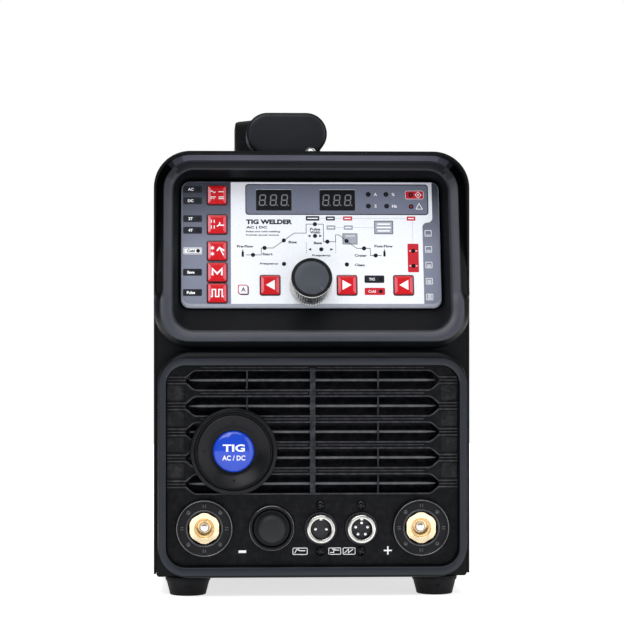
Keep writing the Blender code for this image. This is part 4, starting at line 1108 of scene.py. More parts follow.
def make_panel_prints():
    """The overlay's printing: grey fields, then lamps, labels, titles and the weld cycle on top."""
    low, high = in_frame("control_panel_plate", PANEL)
    grey = Print("print_display_bar", "panel_grey")
    strips = Print("print_grey_strips_painted_shade", "panel_strip_shaded")
    mid = Print("print_mid_fields", "panel_mid")
    white = Print("print_white_marks", "print_white")
    black = Print("print_black_marks", "print_black")
    dark = Print("print_dark_labels", "print_dark")
    red = Print("print_red_marks", "print_red")

    def lamp(x, z, radius, layer, core=0.6, ink=dark):
        black.dot(x, z, radius, layer)
        ink.dot(x, z, core, layer + 1)

    # the grey fields: left strip, right strip with its S-curve, display bar; the strips darken towards the
    # top with painted shade of the hood
    left_x = art(STRIP_EDGE, 0)[0]
    side_gap, top_gap, foot_gap = FACE_MARGINS
    low.x, high.x, low.y, high.y = low.x + side_gap, high.x - side_gap, low.y + foot_gap, high.y - top_gap
    corner = 5.5
    corner_low = arc((low.x + corner, low.y + corner), corner, 180, 270, 8)
    corner_high = arc((low.x + corner, high.y - corner), corner, 90, 180, 8)
    keys = [key_outline(key, 0.3) for key in KEYS[:5]]
    grey_left = [(left_x, high.y)] + corner_high + corner_low + [(left_x, low.y)]
    plate_with_holes(strips.bm, [grey_left] + keys, 0.0, LAYER)
    outer, inner = art(83.2, 0)[0], art(STRIP_NOTCH, 0)[0]
    middle_y, swing_radius = art(0, 254.0)[1], (outer - inner) / 2
    swing = arc((outer - swing_radius, middle_y + swing_radius), swing_radius, 0, -90, 8)
    swing += arc((inner + swing_radius, middle_y - swing_radius), swing_radius, 90, 180, 8)
    right = arc((high.x - corner, low.y + corner), corner, -90, 0, 8)
    right += arc((high.x - corner, high.y - corner), corner, 0, 70, 8)
    right += [(outer, high.y - 0.5)] + swing + [(inner, low.y)]
    strips.area(right, 1)
    bar = art_rect(-43.5, 80.3, 259.5, 279.7, 1.8)
    windows = [display_opening(display) for display in DISPLAYS]
    plate_with_holes(grey.bm, [bar] + windows, 0.0, LAYER)
    dark.frame((-43.9, 80.7, 259.1, 280.1), 0.6, (2.2, 1.6), 2)

    # status lamps and units beside the displays
    for x, z, unit in ((39.8, 273.2, "A"), (51.9, 273.2, "%"), (39.8, 265.2, "S"), (52.2, 265.2, "Hz")):
        lamp(x, z, 1.75, 2)
        white.text(unit, x + 4.4 + 0.5 * len(unit), z, 2.2, 2, 0.02)
    red.area(art_rect(65.2, 77.4, 270.2, 275.6, 1.0), 2)
    white.frame((65.0, 77.6, 270.0, 275.8), 0.3, (1.2, 0.9), 2)
    for x, z in ((68.9, 272.9), (68.9, 264.9)):
        lamp(x, z, 1.7, 3, ink=red)
    white.line([(73.9, 275.0), (76.0, 272.9), (73.9, 270.8), (71.8, 272.9), (73.9, 275.0)], 3, 0.4)
    white.dot(73.9, 272.9, 0.6, 3)
    white.line([(72.2, 263.2), (74.4, 267.0), (76.6, 263.2), (72.2, 263.2)], 2, 0.45)

    # labels down the left strip, each with its lamp
    for words, z in STRIP_LABELS:
        plain = words != "Cold"
        ink, letters = (dark, white) if plain else (white, black)
        ink.area(art_rect(-86.0, -73.3, z - 2.3, z + 2.3, 0.8), 2)
        if not plain:
            black.frame((-85.6, -73.7, z - 1.95, z + 1.95), 0.3, (0.6, 0.4), 3)
        letters.text(words, -81.2 + 0.1 * len(words), z, 2.1, 3, 0.04)
        lamp(-75.9, z, 1.35, 3)

    # key surrounds
    for key in KEYS:
        black.border(key_outline(key, 0.62), key_outline(key, 0.32), 2)

    # titles
    for words, z, height, bold, width in (("TIG WELDER", 254.35, 3.5, 0.05, 32.0),
                                          ("AC | DC", 250.4, 2.3, 0.04, 14.6),
                                          ("Pulse and cold welding", 247.6, 1.5, 0.03, 23.4),
                                          ("Inverter power source", 245.3, 1.5, 0.03, 22.6)):
        black.text(words, -43.5, z, height, 1, bold, width, "LEFT")

    # weld cycle
    black.line(CYCLE, 2, 0.36)
    for x, z in CYCLE_DOTS:
        lamp(x, z, 1.45, 3, 0.5)
    for x in (-2.8, 17.1):
        for i in range(6):
            z = 240.6 - 1.35 * i
            black.line([(x, z), (x, z - 0.7)], 1, 0.3)
    for z, left, right in ((244.8, -1.9, 8.0), (235.7, -1.5, 15.4)):
        black.area(art_path([(left, z), (left + 2.0, z - 0.9), (left + 2.0, z + 0.9)]), 1)
        black.area(art_path([(right, z), (right - 2.0, z + 0.9), (right - 2.0, z - 0.9)]), 1)
    for words, x, z in CYCLE_WORDS:
        black.text(words, x, z, 1.85, 1, 0.03, 1.4 * len(words))
    for x, z in ((-45.8, 232.9), (50.1, 233.2)):
        black.area(art_rect(x - 0.75, x + 0.75, z - 2.3, z + 1.3, 0.5), 1)
        black.area(art_rect(x - 0.3, x + 0.3, z + 1.2, z + 2.6), 1)
    mid.area(art_rect(22.0, 31.7, 239.3, 246.3, 0.3), 1)
    black.frame((21.8, 31.9, 239.1, 246.5), 0.3, (0.4, 0.2), 2)
    white.text("SPOT", 27.2, 244.7, 1.3, 2, 0.0, 6.6)
    mid.area(art_rect(43.7, 56.1, 246.3, 255.0, 0.3), 1)
    black.frame((43.5, 56.3, 246.1, 255.2), 0.4, (0.4, 0.2), 2)
    for i, width in enumerate((9.0, 9.6, 8.4)):
        white.area(art_rect(49.9 - width / 2, 49.9 + width / 2, 252.4 - 2.3 * i, 253.4 - 2.3 * i), 2)

    # parameter tags over the cycle, and the thin line that leads to the right-hand lamps
    for x0, x1, z0, z1, ink in ((-2.9, 6.2, 255.2, 258.3, dark), (10.7, 16.8, 255.3, 258.1, dark),
                                (22.4, 28.5, 255.3, 258.1, red), (65.8, 71.6, 255.3, 258.1, red),
                                (11.1, 17.1, 249.0, 252.0, mid), (22.8, 28.9, 249.0, 252.0, mid)):
        ink.area(art_rect(x0, x1, z0, z1, 0.4), 2)
        white.area(art_rect(x0 + 1.0, x1 - 1.0, (z0 + z1) / 2 - 0.35, (z0 + z1) / 2 + 0.35), 3)
    for x0, x1, z in ((6.2, 10.7, 256.8), (16.8, 22.4, 256.8), (28.5, 65.8, 256.8), (17.1, 22.8, 250.5),
                      (28.9, 43.7, 250.5)):
        mid.line([(x0, z), (x1, z)], 1, 0.18)
    mid.line([(69.6, 255.3), (69.6, 239.6)], 1, 0.18)

    # lamps at the right, generic marks down the right strip, small tags by the arrow keys
    red.area(art_rect(65.8, 73.3, 220.3, 239.6, 0.8), 2)
    for z in (234.7, 224.6):
        black.dot(69.6, z, 1.5, 3)
        white.line([(66.9, z), (68.1, z)], 3, 0.5)
        white.line([(71.1, z), (72.4, z)], 3, 0.5)
    for i, z in enumerate((246.7, 235.8, 225.2, 214.3, 203.7)):
        x = 80.1
        white.frame((x - 2.3, x + 2.3, z - 2.1, z + 2.1), 0.35, (0.5, 0.3), 2)
        for k in range(i + 1):
            white.area(art_rect(x - 1.3, x + 1.3, z - 1.3 + k * 0.62, z - 1.0 + k * 0.62), 2)
    for words, z, ink, limits, bold in (("TIG", 215.6, dark, (36.2, 49.6, 213.1, 218.1), 0.015),
                                        ("Cold", 207.4, red, (36.2, 50.0, 205.0, 209.8), 0.01)):
        ink.area(art_rect(*limits, 0.8), 2)
        white.text(words, 41.2, z, 1.9, 3, bold)
        black.dot(47.1, z, 1.3, 3)
    red.frame((-49.2, -42.6, 205.6, 211.9), 0.6, (1.2, 0.8), 1)
    black.frame((-48.2, -41.8, 205.0, 211.2), 0.6, (1.2, 0.8), 2)
    white.area(art_rect(-48.2, -42.9, 205.9, 211.2, 0.8), 3)
    black.text("A", -45.5, 208.6, 3.1, 4, 0.02)
    for ink in (strips, grey, mid, white, black, dark, red):
        ink.done()


# ------------------------------------------------------------------ displays, keys and knob
DIGIT = (4.6, 8.2, 0.75)                       # a digit's width, height and segment width
DIGIT_SLANT, DIGIT_GAP, DIGIT_PITCH = 0.10, 0.14, 7.6


def segment_shapes(x, y):
    """The seven segments and the point of one digit whose middle is at x, y."""
    w, h, t = DIGIT

    def lie(x0, y0, length):
        r, start, end = t / 2, x0 + DIGIT_GAP, x0 + length - DIGIT_GAP
        return [(start, y0), (start + r, y0 + r), (end - r, y0 + r), (end, y0), (end - r, y0 - r),
                (start + r, y0 - r)]

    def stand(x0, y0, length):
        return [(x0 + b, y0 + a) for a, b in lie(0, 0, length)]

    left, right = -w / 2 + t / 2, w / 2 - t / 2
    reach = h / 2 - t / 2
    shapes = [lie(left, level_y, right - left) for level_y in (-reach, 0.0, reach)]
    shapes += [stand(side, base, reach) for side in (left, right) for base in (-reach, 0.0)]
    shapes.append(circle(w / 2 + 0.75, -reach, 0.42, 12))
    return [[(x + a + DIGIT_SLANT * b, y + b) for a, b in shape] for shape in shapes]


def make_display(node):
    """A recessed seven-segment window: dark clear filter with three unlit digits under it."""
    low, high, (cx, cy) = placed(node, PANEL)
    bm = bmesh.new()
    for k in (-1, 0, 1):
        for shape in segment_shapes(cx + k * DIGIT_PITCH - 0.3, cy):
            add_prism(bm, shape, high.z - 0.12, high.z + 0.02)
    finish_mesh(f"{node}_segments", bm, PANEL, "segment")
    bm = bmesh.new()
    outer = rounded_rect(low.x, high.x, low.y, high.y, 0.4, 3)
    inner = rounded_rect(low.x + 0.5, high.x - 0.5, low.y + 0.5, high.y - 0.5, 0.3, 3)
    add_frame(bm, outer, inner, high.z - 0.2, high.z + 0.22)
    finish_mesh(f"{node}_rim", bm, PANEL, "black")
    give("window", node)


KEY_CROWN, KEY_BEVEL = 1.2, 1.9                # height over the panel, width of the sloping border


def key_icon(node):
    """White strokes and shapes of a key's mark, about the key's middle: (outline, or line with a width)."""
    wave = [(-4.4, -2.6), (-3.4, -2.6), (-3.4, 2.4), (-1.1, 2.4), (-1.1, -2.6), (1.1, -2.6), (1.1, 2.4),
            (3.4, 2.4), (3.4, -2.6), (4.4, -2.6)]
    marks = {
        "output_mode_key": [([(-4.6, 2.2), (-3.7, 2.9), (-2.8, 2.2), (-1.9, 1.5), (-1.0, 2.2)], 0.55),
                            ([(1.0, 2.2), (4.6, 2.2)], 0.6), ([(-4.6, -1.6), (-1.0, -1.6)], 0.6),
                            ([(-4.6, -2.7), (-3.6, -2.7)], 0.5), ([(-2.9, -2.7), (-1.9, -2.7)], 0.5),
                            ([(1.0, -1.6), (4.6, -1.6)], 0.6), ([(1.0, -2.8), (4.6, -2.8)], 0.6)],
        "trigger_mode_key": [([(-4.0, 3.2), (-4.0, 0.9)], 0.6), ([(-4.0, -0.9), (-4.0, -3.2)], 0.6),
                             ([(-2.0, 3.2), (-2.0, 0.9)], 0.6), ([(-2.0, -0.9), (-2.0, -3.2)], 0.6),
                             ([(-0.2, -1.6), (1.4, -0.6), (4.8, -0.8)], 0.9),
                             ([(1.4, -0.6), (2.0, 1.4)], 0.9)],
        "cold_weld_key": [([(-0.2, -0.2), (1.6, 2.2), (4.8, 0.0)], 1.1), ([(1.6, 2.2), (4.4, -3.2)], 0.8)],
        "memory_key": [([(-3.2, -2.4), (-3.2, 2.2), (0.0, -1.2), (3.2, 2.2), (3.2, -2.4)], 1.25)],
        "pulse_key": [(wave, 0.85)],
    }
    return marks.get(node, [])


def make_key(node):
    """A red key: a shallow pillow whose side slopes are paler as a painted highlight, a dark red edge and a
    white mark.
    """
    low, high, (cx, cy) = placed(node, PANEL)

    def outline(inset, radius):
        return rounded_rect(low.x + inset, high.x - inset, low.y + inset, high.y - inset, radius, 4)

    bm = bmesh.new()
    rings = [level(outline(0, 0.9), low.z), level(outline(0, 0.9), KEY_CROWN - 0.55),
             level(outline(0.1, 0.85), KEY_CROWN - 0.42), level(outline(0.35, 0.8), KEY_CROWN - 0.34)]
    add_loft(bm, rings)
    rim = finish_mesh(f"{node}_edge", bm, PANEL, "key_rim", node, smooth=40)

    bm = bmesh.new()
    rings = [level(outline(0.4, 0.7), KEY_CROWN - 0.6), level(outline(0.4, 0.7), KEY_CROWN - 0.3),
             level(outline(0.7, 0.6), KEY_CROWN - 0.24), level(outline(KEY_BEVEL, 0.3), KEY_CROWN - 0.09),
             level(outline(KEY_BEVEL + 0.5, 0.25), KEY_CROWN - 0.06)]
    add_loft(bm, rings)
    cap = finish_mesh(f"{node}_cap", bm, PANEL, "key", node)
    # the side slopes take the paler red as a painted highlight on the bevel
    cap.data.materials.append(MATS["key_painted_highlight"])
    across = PANEL.to_3x3().normalized().inverted()
    for face in cap.data.polygons:
        normal = across @ face.normal
        place = PANEL.inverted() @ face.center
        sloping = 0.02 < abs(normal.x) < 0.6 and abs(normal.y) < abs(normal.x)
        if sloping and abs(place.y - cy) < 5.6:
            face.material_index = 1
    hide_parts(node)

    bm = bmesh.new()
    for points, width in key_icon(node):
        add_stroke(bm, [(cx + x, cy + y) for x, y in points], width, KEY_CROWN - 0.2, KEY_CROWN)
    if node == "cold_weld_key":
        for y in (2.0, -2.2):
            for turn in (0, 60, 120):
                a = math.radians(turn + 30)
                dx, dy = 1.4 * math.cos(a), 1.4 * math.sin(a)
                add_stroke(bm, [(cx - 3.3 - dx, cy + y - dy), (cx - 3.3 + dx, cy + y + dy)], 0.55,
                           KEY_CROWN - 0.2, KEY_CROWN - 0.01 * turn / 60)
    if node in ("previous_key", "next_key", "select_key"):
        way = 1 if node == "next_key" else -1
        add_prism(bm, [(cx + way * 3.0, cy), (cx - way * 3.2, cy + 3.6), (cx - way * 3.2, cy - 3.6)],
                  KEY_CROWN - 0.2, KEY_CROWN)
    finish_mesh(f"{node}_mark", bm, PANEL, "print_white", node)


def make_knob():
    """Knurled aluminium knob with a dished rim and a grey cap let into its top."""
    low, high, centre = placed("encoder_knob", PANEL)
    base, top, radius = low.z, high.z, (high.x - low.x) / 2
    steps, flutes, flute_depth = 480, 48, 0.55

    def knurl(r, height, i):
        inside = base + 0.9 < height < top - 1.0
        phase = (i % (steps // flutes)) / (steps // flutes)
        return r - (flute_depth * abs(2 * phase - 1) if inside and r > radius - 0.6 else 0.0)

    cap_low, cap_high = in_frame("knob_cap", PANEL)
    seat, face = cap_low.z, cap_high.z
    skirt = [(radius - 0.5, base), (radius - 0.05, base + 0.4), (radius - 0.05, base + 0.85),
             (radius, base + 1.0)]
    skirt += [(radius, base + 1.0 + (top - base - 2.1) * k / 8) for k in range(1, 9)]
    skirt += [(radius - 0.05, top - 0.95), (radius - 0.35, top - 0.35), (radius - 0.8, top - 0.05),
              (13.4, top), (13.2, top - 0.2), (12.65, top - 0.6), (12.65, seat), (3.2, seat), (3.2, base)]
    bm = bmesh.new()
    add_turned(bm, skirt, steps, centre, knurl)
    knob = finish_mesh("knurled_knob", bm, PANEL, "knurl", "knob", smooth=25)
    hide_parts("encoder_knob")

    disc = [(0, seat + 0.1), (11.6, seat + 0.1), (11.6, face - 0.1), (11.3, face), (6.0, face - 0.03),
            (0, face - 0.05)]
    cap = turned_piece("knob_top_disc", disc, 128, centre, PANEL, "cap_grey", "knob", smooth=30)
    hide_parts("knob_cap")
    edge, crest = (cap_high.x - cap_low.x) / 2, max(top + 0.3, face + 0.12)
    lip = [(11.62, seat + 0.1), (edge, seat + 0.1), (edge, top + 0.05), (13.7, top + 0.05),
           (13.85, top + 0.15), (13.6, crest), (11.9, crest), (11.62, face)]
    rim = turned_piece("knob_top_edge", lip, 128, centre, PANEL, "black", "knob", smooth=30)


# ------------------------------------------------------------------ case
COVER_CORNER, SHEET = 25.0, 1.5
LOUVRE_DEPTHS, LOUVRE_ROWS = (115.0, 200.0, 330.0), 9
LOUVRE_FIRST, LOUVRE_PITCH = 80.0, 18.0
LOUVRE_LENGTH, LOUVRE_HEIGHT = 60.0, 4.2
# section of the pressed hood over a slot: distance out of the side and height from the slot's middle
LOUVRE_HOOD = ((-1.55, 2.6), (-1.35, 3.4), (-2.25, 3.1), (-4.55, 0.3), (-5.55, -1.6), (-5.05, -2.0),
               (-3.85, 0.0))


def make_cover():
    """The folded steel cover: smooth bends, plain sheet ends, pressed louvres over the side slots."""
    low, high = in_frame("case_cover", FLAT)

    def section(inset, y):
        x, top = high.x - inset, high.z - inset
        radius = COVER_CORNER - inset
        points = [(x, low.z)]
        points += [(x, low.z + (top - radius - low.z) * k / 6) for k in range(1, 6)]
        points += arc((x - radius, top - radius), radius, 0, 90, 16)
        mirrored = [(-a, b) for a, b in reversed(points)]
        return [(a, y, b) for a, b in points + mirrored]

    shell = bmesh.new()
    loops = [[shell.verts.new(point) for point in section(inset, y)]
             for inset, y in ((0.0, low.y), (0.0, high.y), (SHEET, high.y), (SHEET, low.y))]
    for a, b in zip(loops, loops[1:] + loops[:1]):
        for i in range(len(a) - 1):
            shell.faces.new((a[i], a[i + 1], b[i + 1], b[i]))
    for k in (0, -1):
        shell.faces.new([loop[k] for loop in loops])
    cover = finish_mesh("folded_cover", shell, FLAT, "case", smooth=25)
    cutter, vents = bmesh.new(), bmesh.new()
    front, half, rise = RIM_Y / MM, LOUVRE_LENGTH / 2, LOUVRE_HEIGHT / 2
    for side in (-1, 1):
        face = side * high.x
        for depth in LOUVRE_DEPTHS:
            for row in range(LOUVRE_ROWS):
                y, z = front + depth, LOUVRE_FIRST + LOUVRE_PITCH * row
                slot_shape = rounded_rect(y - half, y + half, z - rise, z + rise, 2.0, 5)
                add_loft(cutter, [[(face + side * dx, a, b) for a, b in slot_shape] for dx in (1.0, -4.0)])
                add_loft(vents, [[(face + side * dx, end, z + dz) for dx, dz in LOUVRE_HOOD]
                                 for end in (y - half - 1.0, y + half + 1.0)])
    cut = finish_mesh("louvre_cutter", cutter, FLAT, "case")
    boolean = cover.modifiers.new("slots", "BOOLEAN")
    boolean.operation, boolean.solver, boolean.object = "DIFFERENCE", "EXACT", cut
    mesh = mesh_of(cover)
    cover.modifiers.clear()
    old = cover.data
    cover.data = mesh
    bpy.data.meshes.remove(old)
    bpy.data.objects.remove(cut, do_unlink=True)
    mesh.set_sharp_from_angle(angle=math.radians(25))
    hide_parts("case_cover")
    finish_mesh("pressed_louvres", vents, FLAT, "case", smooth=35)


def make_sheet_parts():
    """Finishes of the flat sheet parts, and the chassis plate's folded sill under the hood."""
    give("case", "front_chassis_plate", "base_pan", "rear_panel")
    back = in_frame("front_chassis_plate", FRONT)[0].z
    bm = bmesh.new()
    add_prism(bm, rounded_rect(-100.0, 100.0, 160.0, 178.0, 1.0, 3), back - 2.0, back - 0.5)
    finish_mesh("chassis_sill", bm, FRONT, "case")


# ------------------------------------------------------------------ handle and feet
def rounded_bar(cx, half, low, high, radius, steps=12):
    return rounded_rect(cx - half, cx + half, low, high, min(radius, (high - low) / 2 - 0.01), steps)


def make_handle():
    """Front block with a soft grey face inside a thin dark rim of painted shade, a ribbed grip and the rear
    block.
    """
    low, high, (cx, _) = placed("handle_front_block", FRONT)
    half = (high.x - low.x) / 2
    radius, foot = 15.5, high.y - 31.0

    def ring(inset, z):
        return level(rounded_bar(cx, half - inset, foot + inset, high.y - inset, radius - inset, 16), z)

    bm = bmesh.new()
    add_loft(bm, [ring(0, low.z), ring(0, high.z - 1.6), ring(0.15, high.z - 0.7), ring(0.45, high.z - 0.2),
                  ring(0.9, high.z), ring(1.1, high.z - 0.5)])
    neck = rounded_rect(cx - half + 5.0, cx + half - 5.0, low.y, foot + 8.0, 2.0, 4)
    add_loft(bm, [level(neck, low.z + 2.0), level(neck, high.z - 4.0)])
    # the nose takes the near-black plastic so the rim round the grey face shows as painted shade
    block = finish_mesh("handle_nose", bm, FRONT, "black", smooth=40)
    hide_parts("handle_front_block")
    bm = bmesh.new()
    add_loft(bm, [ring(inset, high.z - depth) for inset, depth in (
        (1.1, 1.0), (1.1, 0.55), (1.5, 0.3), (3.5, 0.05), (6.0, 0.0))])
    finish_mesh("handle_nose_face", bm, FRONT, "handle", smooth=50)

    low, high, (cx, _) = placed("handle_grip", FRONT)
    half = (high.x - low.x) / 2

    def oval(inset, z):
        return level(rounded_bar(cx, half - inset, low.y + inset, high.y - inset, 7.4 - inset, 8), z)

    ribs, plain = 26, 4.0                      # ribs along the grip, and its plain length at each end
    span = (high.z - low.z - 2 * plain) / ribs
    rings = [oval(0.6, low.z), oval(0.0, low.z + 1.0)]
    for k in range(ribs):
        start = low.z + plain + span * k
        rings += [oval(0.0, start), oval(0.7, start + span * 0.22), oval(0.7, start + span * 0.42),
                  oval(0.0, start + span * 0.64)]
    rings += [oval(0.0, high.z - 1.0), oval(0.6, high.z)]
    bm = bmesh.new()
    add_loft(bm, rings)
    grip = finish_mesh("handle_ribbed_grip", bm, FRONT, "rubber", smooth=30)
    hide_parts("handle_grip")

    low, high, (cx, _) = placed("handle_rear_block", FRONT)
    half = (high.x - low.x) / 2

    def rear(inset, z):
        x, y = half - inset, high.y - 3.0 - inset * 0.6
        side = [(x - 1.0, low.y), (x, low.y + 1.0), (x, y - 1.2), (x - 0.3, y + 0.3), (x - 1.1, y + 1.1),
                (x - 2.4, y + 1.6), (half - 14.0, high.y - inset)]
        return level([(cx + a, b) for a, b in side] + [(cx - a, b) for a, b in reversed(side)], z)

    eased_end = ((2.0, 0.0), (0.8, 0.5), (0.2, 1.3), (0, 2.4))
    bm = bmesh.new()
    add_loft(bm, [rear(inset, low.z + depth) for inset, depth in eased_end]
             + [rear(inset, high.z - depth) for inset, depth in reversed(eased_end)])
    block = finish_mesh("handle_tail", bm, FRONT, "black", smooth=40)
    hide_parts("handle_rear_block")


def make_foot(node):
    """A tapered rubber foot with a rounded tread; the front ones carry three small raised bars."""
    low, high, (cx, cy) = placed(node, FLAT)
    top, tread = (high.x - low.x) / 2, 12.5
    profile = [(0, 1.4), (4.0, 1.4), (4.6, 0.5), (5.2, 0.0), (tread - 1.0, 0.0), (tread - 0.3, 0.25),
               (tread, 0.9), (tread + 0.25, 2.2), (top - 0.9, high.z - 3.2), (top - 0.25, high.z - 2.4),
               (top, high.z - 1.6), (top, high.z), (0, high.z)]
    foot = turned_piece(f"{node}_moulding", profile, 72, (cx, cy), FLAT, "rubber", smooth=40)
    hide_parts(node)
    if low.y < 0:
        bm = bmesh.new()
        for k in (-1, 0, 1):
            a = math.radians(-90 + 7 * k)
            x, y = cx + (top - 1.35) * math.cos(a), cy + (top - 1.35) * math.sin(a)
            tall = 2.6 if k == 0 else 1.5
            add_loft(bm, [[(x - 0.3, y + dy, z), (x + 0.3, y + dy, z), (x + 0.3, y + dy, z + tall),
                           (x - 0.3, y + dy, z + tall)] for dy, z in ((1.2, 5.6), (-0.1, 5.6))])
        finish_mesh(f"{node}_mark", bm, FLAT, "rubber")


# ------------------------------------------------------------------ rear
def add_sheet(bm, grid):
    """Faces over a square grid of vertices."""
    for row, after in zip(grid, grid[1:]):
        for c in range(len(row) - 1):
            bm.faces.new((row[c], after[c], after[c + 1], row[c + 1]))


def make_fan():
    """The fan's frame with its struts and motor, the seven-bladed rotor and the wire guard."""
    low, high, (cx, cy) = placed("fan_frame", BACK)
    half, bore, flange, strut = (high.x - low.x) / 2, 57.0, 3.6, 2.0
    quarters = [math.radians(45 + 90 * k) for k in range(4)]

    def polar(radius, a):
        return cx + radius * math.cos(a), cy + radius * math.sin(a)

    wall = rounded_rect(cx - half, cx + half, cy - half, cy + half, 5.0, 8)
    bm = bmesh.new()
    holes = [circle(cx + sx * 52.5, cy + sy * 52.5, 2.2, 24) for sx in (-1, 1) for sy in (-1, 1)]
    for z0, z1 in ((low.z, low.z + flange), (high.z - flange, high.z)):
        plate_with_holes(bm, [wall, circle(cx, cy, bore, 96)] + holes, z0, z1)
    add_turned(bm, [(bore, low.z + flange), (bore + 1.6, low.z + flange), (bore + 1.6, high.z - flange),
                    (bore, high.z - flange)], 96, (cx, cy))
    for a in quarters:
        across = Vector((-math.sin(a), math.cos(a))) * strut
        inner, outer = Vector(polar(19, a)), Vector(polar(bore + 0.5, a))
        quad = [tuple(p) for p in (inner - across, outer - across, outer + across, inner + across)]
        add_prism(bm, quad, low.z + 0.4, low.z + 3.2)
    motor = [(0, low.z + 0.2), (19.6, low.z + 0.2), (20.0, low.z + 0.6), (20.0, low.z + 3.4),
             (0, low.z + 3.4)]
    add_turned(bm, motor, 64, (cx, cy))
    frame_piece = finish_mesh("fan_housing", bm, BACK, "black", smooth=30)
    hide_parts("fan_frame")

    low, high = in_frame("fan_impeller", BACK)
    hub, tip, blades, cells = 20.0, 55.0, 7, 6
    depth = high.z - low.z
    boss = [(0, low.z), (hub - 0.6, low.z), (hub, low.z + 0.6), (hub, high.z - 1.6),
            (hub - 0.5, high.z - 0.5), (hub - 1.6, high.z), (8.0, high.z), (7.6, high.z - 0.35),
            (0, high.z - 0.35)]

    def blade_point(k, r, c, thick):
        """A point of blade k: r of its cells out from the hub, c of them along its sweep."""
        out, along = r / cells, c / cells
        sweep = math.radians(360 / blades * k + 38 * along + 10 * out ** 1.5)
        x, y = polar(hub - 1.0 + (tip - hub + 1.0) * out, sweep)
        return x, y, low.z + 1.6 + (depth - 3.4) * along ** 1.15 + thick

    bm = bmesh.new()
    add_turned(bm, boss, 72, (cx, cy))
    for k in range(blades):
        a, b = ([[bm.verts.new(blade_point(k, r, c, thick)) for c in range(cells + 1)]
                 for r in range(cells + 1)] for thick in (-0.6, 0.6))
        add_sheet(bm, a)
        add_sheet(bm, b)
        for c in (0, -1):
            add_sheet(bm, [[row[c] for row in a], [row[c] for row in b]])
        for r in (0, -1):
            add_sheet(bm, [a[r], b[r]])
    fan = finish_mesh("fan_rotor", bm, BACK, "black", "fan", smooth=35)
    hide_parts("fan_impeller")

    low, high = in_frame("fan_guard", BACK)
    bm = bmesh.new()

    def wire(points, z, r=0.75, closed=True):
        count = len(points)
        rings = []
        for i, (x, y) in enumerate(points):
            before, after = points[i - 1], points[(i + 1) % count]
            if not closed:
                before, after = points[max(i - 1, 0)], points[min(i + 1, count - 1)]
            along = Vector((after[0] - before[0], after[1] - before[1])).normalized()
            side = Vector((-along.y, along.x))
            rings.append([(x + side.x * r * math.cos(a), y + side.y * r * math.cos(a), z + r * math.sin(a))
                          for a in (2 * math.pi * k / 8 for k in range(8))])
        add_loft(bm, rings, capped=not closed)

    z = high.z - 0.8
    for radius in (54.5, 44.5, 34.5, 24.5, 14.5):
        wire(circle(cx, cy, radius, 72), z)
    for a in quarters:
        wire([polar(r, a) for r in (6.0, 72.0)], z - 0.05, closed=False)
        eye = polar(74.2, a)
        wire(circle(*eye, 3.0, 24), z - 0.02)
        screw = [(0, high.z), (1.9, high.z - 0.25), (2.6, high.z - 0.8), (2.6, low.z), (0, low.z)]
        add_turned(bm, screw, 24, eye)
    guard = finish_mesh("fan_wire_guard", bm, BACK, "bright", smooth=50)
    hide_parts("fan_guard")


def make_switch():
    """A bezel round the mains rocker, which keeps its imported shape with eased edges."""
    _, high, (cx, cy) = placed("power_switch_body", BACK)
    half_x, half_y = high.x - cx, high.y - cy
    opening = rounded_rect(cx - 11.5, cx + 11.5, cy - 7.7, cy + 7.7, 0.8, 6)
    rings = []
    for inset, z in ((0, 0.05), (0, high.z - 0.9), (0.3, high.z - 0.35), (0.9, high.z)):
        rings.append(level(rounded_rect(cx - half_x + inset, cx + half_x - inset, cy - half_y + inset,
                                        cy + half_y - inset, 2.0, 6), z))
    rings += [level(opening, high.z), level(opening, 0.05)]
    bm = bmesh.new()
    add_loft(bm, rings, capped=False)
    bezel = finish_mesh("switch_bezel", bm, BACK, "black", smooth=40)
    give("black", "power_switch_body")

    give("key", "power_rocker")
    ease_edges("power_rocker", 0.0006, 3)


def make_rear_fittings():
    give("bright", "earth_stud")
    give("black", "mains_cable_gland")
    give("brass", "gas_inlet_nozzle")
    for node, width in (("mains_cable_gland", 0.0005), ("gas_inlet_nozzle", 0.0003), ("earth_stud", 0.0003)):
        ease_edges(node, width, 2)


# ------------------------------------------------------------------ inside the case
def make_inside():
    give("aluminium", "heatsink")
    give("board", "power_board", "control_board")
    give("winding", "main_transformer", "output_inductor", "high_frequency_coil")
    give("brass", "gas_solenoid_valve")
    give("steel", "encoder_shaft")
    give("black", "encoder_body")


# ------------------------------------------------------------------ assembly of the machine
TORCH_PINS = ((-3.7, 0.0), (3.7, 0.0))
PEDAL_PINS = arc((0.0, 0.0), 4.2, 90, 378, 4)   # five pins, 72 degrees apart

make_hood()
make_bezel_frame()
make_floor()
make_grille()
for side in ("negative", "positive"):
    make_socket(side)
make_gas_outlet()
make_connector("torch_connector", TORCH_PINS)
make_connector("pedal_connector", PEDAL_PINS)
for name in ("torch_connector", "pedal_connector"):
    for side in ("lower", "upper"):
        make_cross_screw(f"{name}_{side}_screw", FRONT, 3.1, 1.9, "screw")
make_badge()
make_front_prints()
make_panel_plate()
make_panel_prints()
for display in DISPLAYS:
    make_display(display)
for key in KEYS:
    make_key(key)
make_knob()
make_cover()
make_sheet_parts()
make_handle()
for node in ("front_left_foot", "front_right_foot", "rear_left_foot", "rear_right_foot"):
    make_foot(node)
make_cross_screw("hood_screw", FLAT, 3.6, 2.6, "bright")
make_fan()
make_switch()
make_rear_fittings()
make_inside()


# ------------------------------------------------------------------ stage, light and camera
SUBJECT = (0, 0, 0.2)                          # the point that every light faces
CAMERA_TURN, CAMERA_DISTANCE = math.radians(2.6), 1.56
CAMERA_AIM = Vector((-0.0008, RIM_Y, 0.1935))


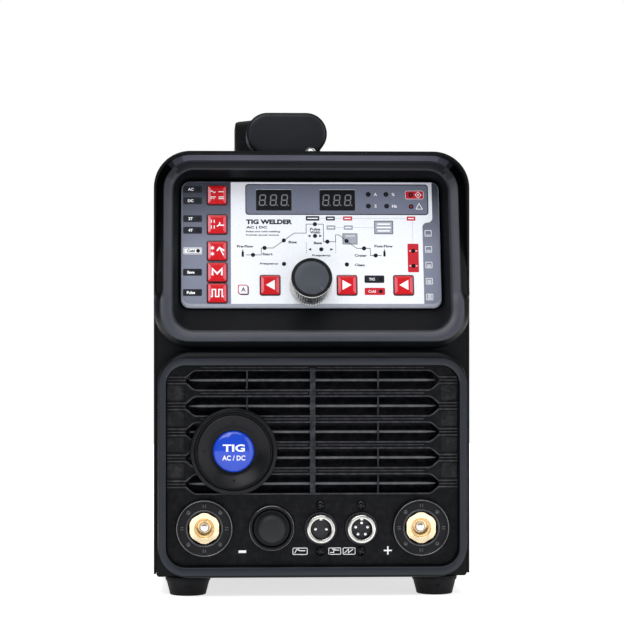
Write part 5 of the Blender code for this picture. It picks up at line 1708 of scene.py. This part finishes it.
def make_stage():
    mesh = bpy.data.meshes.new("floor")
    mesh.from_pydata([(-3, -3, 0), (3, -3, 0), (3, 1.6, 0), (-3, 1.6, 0)], [], [(0, 1, 2, 3)])
    material = bpy.data.materials.new("pale_floor")
    material.use_nodes = True
    shade = material.node_tree.nodes["Principled BSDF"]
    shade.inputs["Base Color"].default_value = (0.95, 0.95, 0.95, 1.0)
    shade.inputs["Roughness"].default_value = 0.9
    shade.inputs["Emission Color"].default_value = (1.0, 1.0, 1.0, 1.0)
    shade.inputs["Emission Strength"].default_value = 0.70
    mesh.materials.append(material)
    floor = bpy.data.objects.new("floor", mesh)
    bpy.context.scene.collection.objects.link(floor)


def make_world():
    """White to the camera, a soft grey to the machine."""
    world = bpy.data.worlds.new("studio")
    bpy.context.scene.world = world
    world.use_nodes = True
    nodes, links = world.node_tree.nodes, world.node_tree.links
    nodes.clear()
    path = nodes.new("ShaderNodeLightPath")
    soft, white = nodes.new("ShaderNodeBackground"), nodes.new("ShaderNodeBackground")
    soft.inputs["Color"].default_value = (0.92, 0.95, 1.0, 1.0)
    soft.inputs["Strength"].default_value = 0.28
    white.inputs["Color"].default_value = (1.0, 1.0, 1.0, 1.0)
    white.inputs["Strength"].default_value = 1.0
    mix, out = nodes.new("ShaderNodeMixShader"), nodes.new("ShaderNodeOutputWorld")
    links.new(path.outputs["Is Camera Ray"], mix.inputs["Fac"])
    links.new(soft.outputs["Background"], mix.inputs[1])
    links.new(white.outputs["Background"], mix.inputs[2])
    links.new(mix.outputs["Shader"], out.inputs["Surface"])


def make_light(name, place, size, power):
    light = bpy.data.lights.new(name, "AREA")
    light.shape = "RECTANGLE"
    light.size, light.size_y = size
    light.energy = power
    obj = bpy.data.objects.new(name, light)
    obj.location = place
    obj.rotation_euler = (Vector(SUBJECT) - Vector(place)).to_track_quat("-Z", "Y").to_euler()
    bpy.context.scene.collection.objects.link(obj)


def make_camera():
    camera = bpy.data.cameras.new("camera")
    camera.sensor_width = 36.0
    camera.lens = 133.0
    camera.clip_start = 0.05
    obj = bpy.data.objects.new("camera", camera)
    back = Vector((-math.sin(CAMERA_TURN), -math.cos(CAMERA_TURN), 0.0))
    obj.location = CAMERA_AIM + CAMERA_DISTANCE * back
    obj.rotation_euler = (math.pi / 2, 0.0, -CAMERA_TURN)
    bpy.context.scene.collection.objects.link(obj)
    bpy.context.scene.camera = obj


make_stage()
make_world()
make_light("key", (-0.9, -1.5, 1.7), (1.4, 1.0), 17)
make_light("fill", (1.5, -1.3, 0.7), (1.2, 1.6), 11)
make_light("top", (0.0, -0.8, 2.0), (1.6, 1.6), 20)
make_light("rear", (0.4, 1.9, 1.0), (1.4, 1.4), 12)
make_camera()
bpy.context.scene.view_settings.view_transform = "Standard"
